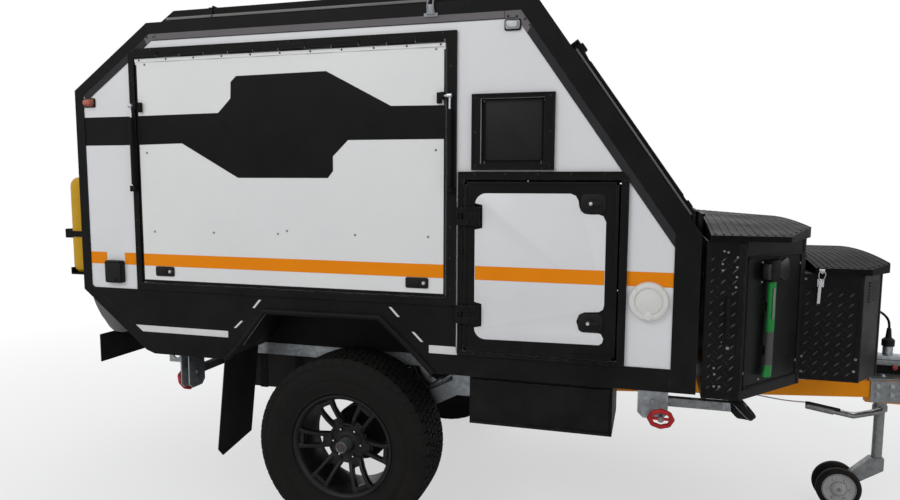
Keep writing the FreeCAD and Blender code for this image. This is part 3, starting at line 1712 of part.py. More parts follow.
def ring_outline(middle, along, rise, radius):
    points = []
    for index in range(handwheel_sides):
        angle = math.pi / handwheel_sides * (index * 2 + 1)
        points.append(middle + along * (radius * math.cos(angle)) + rise * (radius * math.sin(angle)))
    return points


front_stab = Vector(stab_front_x, -stab_front_y, stab_front_z)
rear_stab = Vector(stab_rear_x, -stab_rear_y, stab_rear_z)


# Wheels

def tyre():
    half = tyre_width / 2
    shoulder = tyre_radius - tyre_width * shoulder_drop_share
    bulge = (tyre_radius + bead_radius) / 2
    tread = half * tread_width_share
    flank = half * flank_width_share
    bead = bead_half_width
    lip = bead_radius + bead_height
    near = [
        (bead_radius, -bead), (lip, -bead), ((lip + bulge) / 2, -flank), (bulge, -half), (shoulder, -flank),
        (tyre_radius, -tread)]
    return spun(near + [(radius, -width) for radius, width in reversed(near)])


def spun(points):
    # A section of radius and width pairs, turned about the axle.
    corners = [Vector(radius, width, 0) for radius, width in points]
    face = Part.Face(Part.makePolygon([*corners, corners[0]]))
    ring = face.revolve(Vector(0, 0, 0), Vector(0, 1, 0), 360)
    ring.translate(Vector(0, -wheel_centre_y, tyre_radius))
    return ring


def rim_barrel():
    inner = bead_radius - rim_sheet - knuckle_gap
    outer = bead_radius - knuckle_gap
    lip = rim_lip_radius
    edge = bead_half_width + knuckle_gap
    return spun([
        (inner, -edge - rim_sheet), (lip, -edge - rim_sheet), (lip, -edge), (outer, -edge),
        (outer, edge), (lip, edge), (lip, edge + rim_sheet), (inner, edge + rim_sheet)])


def rim_face():
    # A dished disc with a wide window between spoke pairs and a slot inside each pair.
    outer = bead_radius - rim_sheet / 2
    disc = spun([
        (0, hub_face_y), (hub_radius, hub_face_y), (outer, spoke_face_y),
        (outer, spoke_face_y + spoke_thickness), (hub_radius, hub_back_y), (0, hub_back_y)])
    tools = []
    step = 360 / spoke_pairs
    rim_edge = bead_radius - rim_sheet * 2
    window_start = hub_radius * window_start_share
    slot_start = hub_radius * slot_start_share
    for index in range(spoke_pairs):
        pair = spoke_turn_deg + step * index
        tools.append(rim_window(pair + step / 2, window_start, rim_edge, window_ends_shares, step))
        tools.append(rim_window(pair, slot_start, rim_edge * slot_end_share, slot_ends_shares, step))
    hub_y = -wheel_centre_y + hub_face_y
    cap = rod(
        Vector(0, hub_y - hub_cap_reach, tyre_radius), Vector(0, -wheel_centre_y + hub_back_y, tyre_radius),
        hub_cap_radius)
    lugs = []
    for index in range(lug_count):
        angle = math.radians(360 / lug_count * index + spoke_turn_deg)
        x, z = lug_circle_radius * math.cos(angle), tyre_radius + lug_circle_radius * math.sin(angle)
        lugs.append(rod(Vector(x, hub_y - lug_radius, z), Vector(x, hub_y + lug_radius, z), lug_radius))
    return fused(less(disc, *tools), cap, *lugs)


def rim_window(middle_deg, start, end, end_shares, step):
    # A wedge-shaped hole, narrower towards the hub.
    depth = wheel_centre_y + overrun + tyre_width
    narrow, wide = end_shares
    points = []
    for radius, share, turn in ((start, narrow, -1), (end, wide, -1), (end, wide, 1), (start, narrow, 1)):
        angle = math.radians(middle_deg + turn * share * step * wedge_share)
        points.append(Vector(radius * math.cos(angle), -depth, tyre_radius + radius * math.sin(angle)))
    return drawn(points, inboard * depth)


# Trailer lead

def lead_tube():
    places = [Vector(*point) for point in lead_points]
    edges = []
    last = places[0]
    for before, here, after in zip(places, places[1:], places[2:]):
        back, ahead = before - here, after - here
        turn = math.pi - back.getAngle(ahead)
        reach = lead_bend_share * min(back.Length, ahead.Length)
        radius = reach / math.tan(turn / 2)
        back.normalize()
        ahead.normalize()
        start, end = here + back * reach, here + ahead * reach
        middle_way = back + ahead
        middle_way.normalize()
        middle = here + middle_way * (radius / math.cos(turn / 2) - radius)
        edges.append(Part.LineSegment(last, start).toShape())
        edges.append(Part.Arc(start, middle, end).toShape())
        print("lead bend radius", round(radius, 1))
        last = end
    edges.append(Part.LineSegment(last, places[-1]).toShape())
    path = Part.Wire(edges)
    first = places[1] - places[0]
    ring = Part.Wire(Part.makeCircle(lead_radius, places[0], first))
    tube = path.makePipeShell([ring], True, True)
    print("lead length", round(path.Length, 1), "volume share", round(
        tube.Volume / (math.pi * lead_radius ** 2 * path.Length), 4))
    return tube


def lead_gland():
    end = Vector(*lead_points[0])
    return rod(end - Vector(gland_length, 0, 0), end, gland_radius)


def trailer_plug():
    # A tapered neck, a broad grip and the socket ring that it is parked on.
    x, y, top_z = lead_points[-1]
    waist_z = top_z - plug_neck_length
    grip_z = waist_z - plug_body_length
    foot_z = drawbar_top_z + gusset_sheet + coupling_body_height
    corners = [
        (0, top_z), (plug_neck_radius, top_z), (plug_waist_radius, waist_z),
        (plug_body_radius, waist_z - plug_body_length * plug_shoulder_share), (plug_body_radius, grip_z),
        (plug_socket_radius, grip_z), (plug_socket_radius, foot_z), (0, foot_z)]
    section = [Vector(x + radius, y, z) for radius, z in corners]
    face = Part.Face(Part.makePolygon([*section, section[0]]))
    return face.revolve(Vector(x, y, 0), Vector(0, 0, 1), 360)


# Writing the nodes

def save(node, *solids):
    placed = [solid.translated(Vector(origin_shift, 0, 0)) for solid in solids]
    shape = placed[0] if len(placed) == 1 else Part.makeCompound(placed)
    if not shape.isValid():
        print("check the shape of", node)
    shape.exportStep("parts/" + node + ".step")


os.makedirs("parts", exist_ok=True)
fixed_hatch_knuckles, moving_hatch_knuckles = hatch_knuckles()
tall_fixed, tall_moving = lid_hinge(tall_axis, tall_front_half_width)
small_fixed, small_moving = lid_hinge(small_axis, small_front_half_width)

save("chassis_frame", *chassis(), *both_sides(*hanger()))
save("drawbar", *both_sides(drawbar_side()), nose_beam())
save("drawbar_plates", gusset(), coupling_bed(), *both_sides(drawbar_cheek()), jockey_tube())
save("coupling_head", coupling())
save("hand_brake", hand_brake(), brake_rod())
save("suspension", *both_sides(trailing_arm(), spring_leg(), shock_absorber()))
save("water_tank", water_tank())
save("side_wall_right", side_wall())
save("side_wall_left", mirrored(side_wall()))
save("front_wall", front_wall(), *(cover_hinge_block(k) for k in cover_knuckles()[0]))
save("rear_wall", rear_wall())
save("roof_panel", roof_panel(), roof_curb())
save("floor_panel", floor_panel())
save("edge_rails", *both_sides(edge_rail()))
save("roof_fairing", roof_fairing(), *(
    roof_hinge_leaf(k, roof_split_x - hatch_hinge_leaf_height) for k in roof_knuckles()[0]))
save("skirts", *both_sides(skirt()))
save("wheel_houses", *both_sides(wheel_house()))
save("opening_frames", *both_sides(
    *hatch_frame(), *door_frame(), *window_frame(), window_panel(), *hatch_fixed_leaf(fixed_hatch_knuckles),
    *(door_hinge(z)[0] for z in door_hinge_places), *strut_fixed_brackets()))
tall_strip = hinge_strip(tall_axis, tall_front_half_width, tall_rim_z, tall_fixed)
small_strip = hinge_strip(small_axis, small_front_half_width, small_rim_z, small_fixed)
save("tall_box", *tall_box(), *tall_strip, *axe_clips())
save("small_box", *small_box(), lead_gland(), *small_strip)
save("axe", axe())
save("slung_boxes", *both_sides(slung_box(), *(slung_hinge_leaf(k) for k in slung_knuckles()[0])))
save("mudflaps", *both_sides(mudflap()))
save("rear_valance", rear_valance())
save("rear_bag", rear_bag())
save("jerrycan", jerrycan())
save("jerrycan_holder", jerrycan_holder())
save("lamps", *both_sides(
    small_lamp(side_lamp_x, side_lamp_z), small_lamp(front_lamp_x, front_lamp_z), tail_lamp()))
save("water_inlet", water_inlet())
save("power_inlet", power_inlet())
save("trailer_lead", lead_tube())
save("trailer_plug", trailer_plug())
save("stabiliser_clamps", *both_sides(
    stabiliser_clamp(front_stab, forward, inboard), stabiliser_clamp(rear_stab, inboard, forward)))
save("stabiliser_handles", *both_sides(
    handwheel(front_stab, forward, inboard * -1), handwheel(rear_stab, inboard, forward * -1)))
for side, turned in (("right", lambda shape: shape), ("left", mirrored)):
    save("side_hatch_" + side, turned(hatch_panel()))
    save("strut_tubes_" + side, turned(strut_tube(strut_rear_x)), turned(strut_tube(strut_front_x)))
    save("strut_rods_" + side, turned(strut_rod(strut_rear_x)), turned(strut_rod(strut_front_x)))
    save("door_" + side, turned(door_panel()))
    save("slung_flap_" + side, turned(slung_flap()))
    save("tyre_" + side, turned(tyre()))
    save("rim_" + side, turned(fused(rim_barrel(), rim_face())))
    save("front_stabiliser_" + side, turned(stabiliser_leg(front_stab, forward, inboard)))
    save("rear_stabiliser_" + side, turned(stabiliser_leg(rear_stab, inboard, forward)))
save("front_cover", fused(front_cover(), *(cover_hinge_leaf(k) for k in cover_knuckles()[1])))
save("roof_lid", roof_lid())
save("tall_box_lid", tall_lid(tall_moving))
save("small_box_lid", small_lid(small_moving))
save("jockey_leg", jockey_leg())
save("jockey_fork", jockey_fork())
save("jockey_wheels", *jockey_wheels())
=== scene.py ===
import math

import bmesh
import bpy
from mathutils import Matrix, Vector, noise


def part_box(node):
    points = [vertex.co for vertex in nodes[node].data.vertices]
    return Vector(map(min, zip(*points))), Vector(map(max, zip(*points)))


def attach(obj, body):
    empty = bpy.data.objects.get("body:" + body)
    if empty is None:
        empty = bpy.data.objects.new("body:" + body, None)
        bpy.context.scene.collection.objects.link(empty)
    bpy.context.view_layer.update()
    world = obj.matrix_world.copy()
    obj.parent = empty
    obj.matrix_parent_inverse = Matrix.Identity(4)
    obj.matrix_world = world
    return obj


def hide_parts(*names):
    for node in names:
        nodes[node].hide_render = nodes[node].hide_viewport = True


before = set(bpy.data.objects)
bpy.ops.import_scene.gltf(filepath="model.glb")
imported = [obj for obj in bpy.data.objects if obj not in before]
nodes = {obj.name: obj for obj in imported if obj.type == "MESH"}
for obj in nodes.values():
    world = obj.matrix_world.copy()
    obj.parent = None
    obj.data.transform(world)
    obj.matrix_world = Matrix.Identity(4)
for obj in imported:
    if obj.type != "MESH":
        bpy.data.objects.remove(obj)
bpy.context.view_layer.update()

# The looks of an off-road camping trailer, in metres.
# X points forward, Y to the left and Z up. Places are given from the wheel axle, the
# centre line and the ground, and at() moves them into the shared frame.

tyre_low, tyre_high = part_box("tyre_right")
axle_x = (tyre_low.x + tyre_high.x) / 2

# Body, as the frame has it
side_y = -0.950
rail_y = -0.954
frame_y = -0.962
panel_y = -0.958
skirt_y = -0.954
decal = 0.0006

outboard = (0, -1, 0)
axle_way = (0, 1, 0)

# Radius and height of the small screws in the frames and strips
small_screw = (0.0045, 0.0022)

upward = Vector((0, 0, 1))
forward = Vector((1, 0, 0))
leftward = Vector((0, 1, 0))

# Photograph's viewpoint
eye_place = (1.278, -3.64, 1.543)
look_forward = Vector((-0.2766, 0.9552, -0.1051))
look_right = Vector((0.9604, 0.2786, 0.0049))
look_up = Vector((-0.0340, 0.0996, 0.9944))
photo_width = 900
focal_pixels = 701
centre_drop_pixels = 10
sensor_width = 36.0


def at(x, y, z):
    return Vector((x + axle_x, y, z))


def make_camera():
    camera = bpy.data.cameras.new("camera")
    camera.sensor_width = sensor_width
    camera.lens = focal_pixels / photo_width * sensor_width
    camera.shift_y = centre_drop_pixels / photo_width
    view = bpy.data.objects.new("camera", camera)
    bpy.context.scene.collection.objects.link(view)
    turn = Matrix((look_right, look_up, -look_forward)).transposed().to_4x4()
    view.matrix_world = Matrix.Translation(at(*eye_place)) @ turn
    bpy.context.scene.camera = view


# Forms: each call adds faces to a bmesh, and paint is the index of their material

def cap(form, ring, paint):
    """A face through the corners, where one that comes again counts once."""
    corners = list(dict.fromkeys(ring))
    if len(corners) > 2:
        form.faces.new(corners).material_index = paint


def face_ring(form, rings, closed, paint):
    for before, after in zip(rings, rings[1:]):
        count = len(before)
        for index in range(count if closed else count - 1):
            after_index = (index + 1) % count
            cap(form, [before[index], before[after_index], after[after_index], after[index]], paint)


def closed_tube(form, rings, paint=0):
    face_ring(form, rings, True, paint)
    cap(form, rings[0][::-1], paint)
    cap(form, rings[-1], paint)


def slab(form, outline, push, paint=0, taper=1.0):
    """An outline of places pushed along a vector; taper shrinks the pushed face."""
    push = Vector(push)
    middle = sum(outline, Vector()) / len(outline)
    low = [form.verts.new(place) for place in outline]
    high = [form.verts.new(middle + (place - middle) * taper + push) for place in outline]
    closed_tube(form, [low, high], paint)


def block(form, low, high, paint=0):
    x0, y0, z0 = low
    x1, y1, z1 = high
    outline = [Vector((x0, y0, z0)), Vector((x1, y0, z0)), Vector((x1, y0, z1)), Vector((x0, y0, z1))]
    slab(form, outline, (0, y1 - y0, 0), paint)


def side_slab(form, outline, y, thickness, paint=0, taper=1.0):
    """A plate on the right side, given by its X and Z, that stands out towards -Y."""
    slab(form, [at(x, y, z) for x, z in outline], (0, -thickness, 0), paint, taper)


def rounded_rectangle(x, z, width, height, radius, steps=4):
    corners = []
    for cx, cz, start in (
            (x + width / 2 - radius, z + height / 2 - radius, 0),
            (x - width / 2 + radius, z + height / 2 - radius, 90),
            (x - width / 2 + radius, z - height / 2 + radius, 180),
            (x + width / 2 - radius, z - height / 2 + radius, 270)):
        for step in range(steps + 1):
            angle = math.radians(start + 90 * step / steps)
            corners.append((cx + radius * math.cos(angle), cz + radius * math.sin(angle)))
    return corners


def side_plate(form, x, z, width, height, radius, y, thickness, paint=0, taper=1.0):
    """A side slab with round corners, given by its middle."""
    side_slab(form, rounded_rectangle(x, z, width, height, radius), y, thickness, paint, taper)


def square_frame(axis):
    axis = Vector(axis).normalized()
    helper = Vector((0, 0, 1)) if abs(axis.z) < 0.9 else Vector((1, 0, 0))
    across = helper.cross(axis).normalized()
    return across, axis.cross(across), axis


def lathe(form, section, centre, axis, steps=32, paint=0):
    """A section of radius and height pairs, turned about an axis through centre."""
    across, other, axis = square_frame(axis)
    poles = {}
    for index, (radius, height) in enumerate(section):
        if radius < 1e-7:
            poles[index] = form.verts.new(centre + axis * height)
    columns = []
    for step in range(steps):
        angle = math.tau * step / steps
        out = across * math.cos(angle) + other * math.sin(angle)
        column = []
        for index, (radius, height) in enumerate(section):
            if index in poles:
                column.append(poles[index])
            else:
                column.append(form.verts.new(centre + out * radius + axis * height))
        columns.append(column)
    columns.append(columns[0])
    face_ring(form, columns, False, paint)


def bar(form, start, end, radius, sides=12, paint=0):
    start, end = Vector(start), Vector(end)
    height = (end - start).length
    lathe(form, [(0, 0), (radius, 0), (radius, height), (0, height)], start, end - start, sides, paint)


def bent_bar(form, path, radius, sides=10, paint=0):
    """A round bar that follows a path of places."""
    path = [Vector(place) for place in path]
    rings = []
    across = None
    for index, place in enumerate(path):
        ahead = path[min(index + 1, len(path) - 1)] - path[max(index - 1, 0)]
        ahead.normalize()
        if across is None:
            across = square_frame(ahead)[0]
        across = (across - ahead * across.dot(ahead)).normalized()
        other = ahead.cross(across)
        ring = []
        for side in range(sides):
            angle = math.tau * side / sides
            out = across * math.cos(angle) + other * math.sin(angle)
            ring.append(form.verts.new(place + out * radius))
        rings.append(ring)
    closed_tube(form, rings, paint)


def smooth_path(points, count=8):
    """Places along a curve through the points, for bars bent in an easy sweep."""
    points = [Vector(point) for point in points]
    ends = [points[0] * 2 - points[1], *points, points[-1] * 2 - points[-2]]
    places = []
    for a, b, c, d in zip(ends, ends[1:], ends[2:], ends[3:]):
        for step in range(count):
            t = step / count
            places.append(0.5 * (
                b * 2 + (c - a) * t + (a * 2 - b * 5 + c * 4 - d) * t * t
                + (b * 3 - a - c * 3 + d) * t ** 3))
    places.append(points[-1])
    return places


def screw(form, place, out, radius=0.006, height=0.003, paint=0):
    """A pan head with a small driver recess."""
    lathe(form, [
        (0, height * 0.55), (radius * 0.35, height * 0.55), (radius * 0.42, height * 0.95),
        (radius * 0.8, height * 0.85), (radius, height * 0.3), (radius, 0)], place, out, 12, paint)


def side_screw(form, x, y, z, radius, height, paint=0):
    screw(form, at(x, y, z), outboard, radius, height, paint)


def bolt(form, place, out, radius=0.009, height=0.006, paint=0):
    """A washer under a six-sided head."""
    lathe(form, [(0, radius * 0.2), (radius * 1.5, radius * 0.2), (radius * 1.5, 0)], place, out, 20, paint)
    lathe(form, [
        (0, height), (radius * 0.85, height), (radius, height * 0.8), (radius, 0)], place, out, 6,
        paint)


def mirrored(form):
    bmesh.ops.scale(form, vec=(1, -1, 1), verts=form.verts)
    bmesh.ops.reverse_faces(form, faces=form.faces)
    return form


def piece(name, form, body, materials, bevel=0.0, angle=35.0):
    """Closes a form into an object with its materials, and gives it its body."""
    bmesh.ops.recalc_face_normals(form, faces=form.faces)
    if bevel:
        sharp = [edge for edge in form.edges if edge.is_manifold
                 and edge.calc_face_angle(0) > math.radians(angle)]
        bmesh.ops.bevel(
            form, geom=sharp, offset=bevel, offset_type="OFFSET", segments=2,
            affect="EDGES", clamp_overlap=True, profile=0.5)
    mesh = bpy.data.meshes.new(name)
    form.to_mesh(mesh)
    form.free()
    for polygon in mesh.polygons:
        polygon.use_smooth = True
    mesh.set_sharp_from_angle(angle=math.radians(angle))
    for material in materials if isinstance(materials, (list, tuple)) else [materials]:
        mesh.materials.append(material)
    made = bpy.data.objects.new(name, mesh)
    bpy.context.scene.collection.objects.link(made)
    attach(made, body)
    return made


def single(name, build, body, materials, bevel=0.0, angle=35.0, replaced=None, left=False):
    """A piece made by its build function, which may stand in for a node of the frame."""
    form = bmesh.new()
    build(form)
    if left:
        mirrored(form)
    made = piece(name, form, body, materials, bevel, angle)
    if replaced:
        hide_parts(replaced)


def pair(name, build, body, materials, bevel=0.0, replaced=""):
    """The same piece on the right and, mirrored, on the left. {} in a name is the side."""
    for side in ("right", "left"):
        single(
            name.format(side), build, body.format(side), materials, bevel,
            replaced=replaced.format(side), left=side == "left")


# Shared effects, as node groups with named inputs and outputs

def new_effect(name, inputs, outputs):
    tree = bpy.data.node_groups.new(name, "ShaderNodeTree")
    kinds = {"number": "NodeSocketFloat", "colour": "NodeSocketColor", "vector": "NodeSocketVector"}
    for label, kind, value in inputs:
        socket = tree.interface.new_socket(label, in_out="INPUT", socket_type=kinds[kind])
        if value is not None:
            socket.default_value = value
    for label, kind in outputs:
        tree.interface.new_socket(label, in_out="OUTPUT", socket_type=kinds[kind])
    given = tree.nodes.new("NodeGroupInput").outputs
    return tree, given, tree.nodes.new("NodeGroupOutput").inputs


def give(tree, result, **sockets):
    for label, socket in sockets.items():
        tree.links.new(socket, result[label])
    return tree


def add(tree, kind, settings=None, **links):
    """A node with its settings, and its inputs fed by sockets or values."""
    node = tree.nodes.new(kind)
    for key, value in (settings or {}).items():
        setattr(node, key, value)
    for label, value in links.items():
        key = int(label[1:]) if label[0] == "i" and label[1:].isdigit() else label.replace("_", " ")
        socket = node.inputs[key]
        if isinstance(value, bpy.types.NodeSocket):
            tree.links.new(value, socket)
        else:
            socket.default_value = value
    return node


def maths(tree, operation, first, second=0.5, clamp=False):
    node = add(tree, "ShaderNodeMath", {"operation": operation, "use_clamp": clamp}, i0=first, i1=second)
    return node.outputs[0]


def blend_colour(tree, share, first, second, kind="MIX"):
    node = add(
        tree, "ShaderNodeMix", {"data_type": "RGBA", "blend_type": kind}, i0=share, i6=first, i7=second)
    return node.outputs[2]


def spread(tree, value, low, high, new_low=0.0, new_high=1.0):
    node = add(tree, "ShaderNodeMapRange", i0=value, i1=low, i2=high, i3=new_low, i4=new_high)
    return node.outputs[0]


def cloud(tree, place, scale, detail=4.0, roughness=0.55):
    node = add(
        tree, "ShaderNodeTexNoise", Vector=place, Scale=scale, Detail=detail, Roughness=roughness)
    return node.outputs[0]


def rounded_edges_effect():
    """Turns the light round sharp edges and marks where they are."""
    tree, given, result = new_effect(
        "rounded edges", [("Radius", "number", 0.002)], [("Normal", "vector"), ("Edge", "number")])
    bevel = add(tree, "ShaderNodeBevel", {"samples": 4}, Radius=given["Radius"])
    geometry = add(tree, "ShaderNodeNewGeometry")
    flatness = add(
        tree, "ShaderNodeVectorMath", {"operation": "DOT_PRODUCT"}, i0=bevel.outputs[0],
        i1=geometry.outputs["Normal"])
    edge = maths(tree, "MULTIPLY", maths(tree, "SUBTRACT", 1.0, flatness.outputs["Value"]), 6.0, True)
    return give(tree, result, Normal=bevel.outputs[0], Edge=edge)


def worn_edges_effect():
    """Lets a brighter colour show in broken spots along the edges."""
    tree, given, result = new_effect(
        "worn edges",
        [("Place", "vector", None), ("Colour", "colour", None), ("Worn Colour", "colour", None),
         ("Edge", "number", 0.0), ("Amount", "number", 0.3), ("Scale", "number", 40.0)],
        [("Colour", "colour"), ("Mask", "number")])
    patches = cloud(tree, given["Place"], given["Scale"], 6.0, 0.7)
    broken = spread(tree, patches, 0.45, 0.62)
    mask = maths(tree, "MULTIPLY", maths(tree, "MULTIPLY", broken, given["Edge"]), given["Amount"], True)
    colour = blend_colour(tree, mask, given["Colour"], given["Worn Colour"])
    return give(tree, result, Colour=colour, Mask=mask)


def road_dust_effect():
    """Pale dust that thickens towards the ground and lies on what faces up."""
    tree, given, result = new_effect(
        "road dust",
        [("Place", "vector", None), ("Colour", "colour", None), ("Dust Colour", "colour", None),
         ("Amount", "number", 0.2), ("Fade Height", "number", 1.2)],
        [("Colour", "colour"), ("Mask", "number")])
    parts = add(tree, "ShaderNodeSeparateXYZ", Vector=given["Place"])
    low = add(
        tree, "ShaderNodeMapRange", i0=parts.outputs["Z"], i1=0.0, i2=given["Fade Height"], i3=1.0,
        i4=0.25)
    geometry = add(tree, "ShaderNodeNewGeometry")
    facing = add(tree, "ShaderNodeSeparateXYZ", Vector=geometry.outputs["Normal"])
    lying = spread(tree, facing.outputs["Z"], 0.2, 1.0, 0.6, 1.4)
    patches = spread(tree, cloud(tree, given["Place"], 7.0, 8.0, 0.68), 0.38, 0.72)
    mask = maths(tree, "MULTIPLY", maths(tree, "MULTIPLY", low.outputs[0], lying), patches)
    mask = maths(tree, "MULTIPLY", mask, given["Amount"], True)
    colour = blend_colour(tree, mask, given["Colour"], given["Dust Colour"])
    return give(tree, result, Colour=colour, Mask=mask)


def tone_drift_effect():
    """Slow changes of tone and of gloss over a large surface."""
    tree, given, result = new_effect(
        "tone drift",
        [("Place", "vector", None), ("Colour", "colour", None), ("Other Colour", "colour", None),
         ("Scale", "number", 3.0), ("Roughness", "number", 0.4), ("Spread", "number", 0.1)],
        [("Colour", "colour"), ("Roughness", "number")])
    patches = spread(tree, cloud(tree, given["Place"], given["Scale"], 6.0, 0.6), 0.3, 0.7)
    colour = blend_colour(tree, patches, given["Colour"], given["Other Colour"])
    swing = maths(tree, "MULTIPLY", maths(tree, "SUBTRACT", patches, 0.5), given["Spread"])
    return give(tree, result, Colour=colour, Roughness=maths(tree, "ADD", given["Roughness"], swing, True))


def fine_grain_effect():
    """The orange-peel or moulded grain of a coat, as a height."""
    tree, given, result = new_effect(
        "fine grain", [("Place", "vector", None), ("Scale", "number", 400.0), ("Depth", "number", 1.0)],
        [("Height", "number")])
    coarse = cloud(tree, given["Place"], given["Scale"], 2.0, 0.5)
    return give(tree, result, Height=maths(tree, "MULTIPLY", coarse, given["Depth"]))


def spangle_effect():
    """Zinc crystals, each with its own tone."""
    tree, given, result = new_effect(
        "spangle",
        [("Place", "vector", None), ("Colour", "colour", None), ("Dull Colour", "colour", None),
         ("Scale", "number", 60.0)], [("Colour", "colour"), ("Mask", "number")])
    cells = add(
        tree, "ShaderNodeTexVoronoi", {"feature": "F1"}, Vector=given["Place"], Scale=given["Scale"])
    grey = add(tree, "ShaderNodeSeparateColor", Color=cells.outputs["Color"])
    clouds = cloud(tree, given["Place"], 5.0, 6.0, 0.6)
    mask = maths(
        tree, "ADD", maths(tree, "MULTIPLY", grey.outputs[0], 0.45),
        maths(tree, "MULTIPLY", clouds, 0.75), True)
    colour = blend_colour(tree, mask, given["Dull Colour"], given["Colour"])
    return give(tree, result, Colour=colour, Mask=mask)


def weave_effect():
    """Crossing threads of a coated canvas, as a height."""
    tree, given, result = new_effect(
        "weave", [("Place", "vector", None), ("Scale", "number", 300.0)], [("Height", "number")])
    heights = []
    for direction in ("Y", "Z"):
        threads = add(
            tree, "ShaderNodeTexWave", {"wave_type": "BANDS", "bands_direction": direction},
            Vector=given["Place"], Scale=given["Scale"], Distortion=0.6, Detail=1.0)
        heights.append(threads.outputs["Fac"])
    return give(tree, result, Height=maths(tree, "MULTIPLY", heights[0], heights[1]))


rounded_edges = rounded_edges_effect()
worn_edges = worn_edges_effect()
road_dust = road_dust_effect()
tone_drift = tone_drift_effect()
fine_grain = fine_grain_effect()
spangle = spangle_effect()
weave = weave_effect()


def colour4(colour):
    return (*colour, 1.0)


def effect(tree, group, **links):
    return add(tree, "ShaderNodeGroup", {"node_tree": group}, **links)


class Finish:
    """A material under way: its shader, where it is, its colour so far and its edges."""

    def __init__(self, name, colour, roughness, metallic=0.0, edge=0.002):
        self.material = bpy.data.materials.new(name)
        self.material.use_nodes = True
        self.tree = self.material.node_tree
        self.shader = self.tree.nodes["Principled BSDF"]
        self.shader.inputs["Metallic"].default_value = metallic
        self.place = add(self.tree, "ShaderNodeTexCoord").outputs["Object"]
        self.edges = effect(self.tree, rounded_edges, Radius=edge)
        self.colour = colour4(colour)
        self.roughness = roughness
        self.normal = self.edges.outputs["Normal"]

    def drift(self, other, scale=3.0, swing=0.1):
        node = effect(
            self.tree, tone_drift, Place=self.place, Colour=self.colour, Other_Colour=colour4(other),
            Scale=scale, Roughness=self.roughness, Spread=swing)
        self.colour, self.roughness = node.outputs["Colour"], node.outputs["Roughness"]
        return self

    def wear(self, worn, amount, scale=40.0):
        node = effect(
            self.tree, worn_edges, Place=self.place, Colour=self.colour, Worn_Colour=colour4(worn),
            Edge=self.edges.outputs["Edge"], Amount=amount, Scale=scale)
        self.colour = node.outputs["Colour"]
        return self

    def dust(self, amount, colour=(0.42, 0.38, 0.33), height=1.2):
        node = effect(
            self.tree, road_dust, Place=self.place, Colour=self.colour, Dust_Colour=colour4(colour),
            Amount=amount, Fade_Height=height)
        self.colour = node.outputs["Colour"]
        base = self.roughness
        self.roughness = maths(
            self.tree, "ADD", base, maths(self.tree, "MULTIPLY", node.outputs["Mask"], 0.4), True)
        return self

    def bump(self, height, distance, strength=1.0):
        node = add(
            self.tree, "ShaderNodeBump", Height=height, Distance=distance, Strength=strength,
            Normal=self.normal)
        self.normal = node.outputs[0]
        return self

    def grain(self, scale, distance, strength=1.0):
        node = effect(self.tree, fine_grain, Place=self.place, Scale=scale, Depth=1.0)
        return self.bump(node.outputs["Height"], distance, strength)

    def done(self, **sockets):
        for label, value in sockets.items():
            self.shader.inputs[label.replace("_", " ")].default_value = value
        for label, value in (
                ("Base Color", self.colour), ("Roughness", self.roughness), ("Normal", self.normal)):
            if isinstance(value, bpy.types.NodeSocket):
                self.tree.links.new(value, self.shader.inputs[label])
            else:
                self.shader.inputs[label].default_value = value
        return self.material


def coated_panel(name, colour, other):
    """Smooth coated sheet: a soft gloss, faint streaks and a film of dust low down."""
    finish = Finish(name, colour, 0.34, edge=0.0015).drift(other, 1.6, 0.12)
    finish.dust(0.22, (0.50, 0.47, 0.43), 1.9).grain(260.0, 0.00025, 0.25)
    return finish.done(Coat_Weight=0.25, Coat_Roughness=0.2)


def powder_coat(
        name, colour, other, roughness=0.42, worn=(0.30, 0.30, 0.31), wear=0.30, dust=0.05, shine=0.08):
    finish = Finish(name, colour, roughness, edge=0.0018).drift(other, 5.0, 0.16)
    return finish.wear(worn, wear).dust(dust).grain(900.0, 0.0004, 0.5).done(Specular_IOR_Level=shine)


def zinc_coat(name="galvanised", bright=(0.42, 0.45, 0.47), dull=(0.17, 0.18, 0.19), dust=0.3):
    finish = Finish(name, bright, 0.42, 0.8, edge=0.0015)
    node = effect(
        finish.tree, spangle, Place=finish.place, Colour=colour4(bright), Dull_Colour=colour4(dull),
        Scale=70.0)
    finish.colour = node.outputs["Colour"]
    finish.roughness = spread(finish.tree, node.outputs["Mask"], 0.0, 1.0, 0.54, 0.34)
    return finish.dust(dust, (0.22, 0.20, 0.18), 1.0).grain(500.0, 0.0003, 0.35).done()


def bright_steel():
    finish = Finish("bright_steel", (0.62, 0.63, 0.65), 0.26, 0.95, edge=0.001)
    return finish.drift((0.48, 0.49, 0.51), 22.0, 0.2).done()


def tread_rubber():
    finish = Finish("tyre_rubber", (0.0055, 0.0055, 0.0053), 0.74, edge=0.002)
    finish.drift((0.0095, 0.0088, 0.0080), 9.0, 0.2)
    finish.dust(0.14, (0.070, 0.056, 0.046), 1.4).grain(700.0, 0.0006, 0.6)
    return finish.done(Specular_IOR_Level=0.12)


def alloy_black():
    finish = Finish("alloy_black", (0.0052, 0.0052, 0.0055), 0.34, edge=0.0015)
    finish.drift((0.0085, 0.0085, 0.009), 14.0, 0.15)
    finish.dust(0.05, (0.10, 0.09, 0.08), 1.2).grain(1200.0, 0.0002, 0.3)
    return finish.done(Specular_IOR_Level=0.22)


def tread_plate(name, colour, other, roughness, shine):
    """Black coated aluminium; the raised studs are formed in the mesh."""
    finish = Finish(name, colour, roughness, edge=0.001).drift(other, 8.0, 0.16)
    finish.wear((0.34, 0.34, 0.35), 0.5, 90.0).dust(0.04)
    return finish.grain(1000.0, 0.0003, 0.4).done(Specular_IOR_Level=shine)


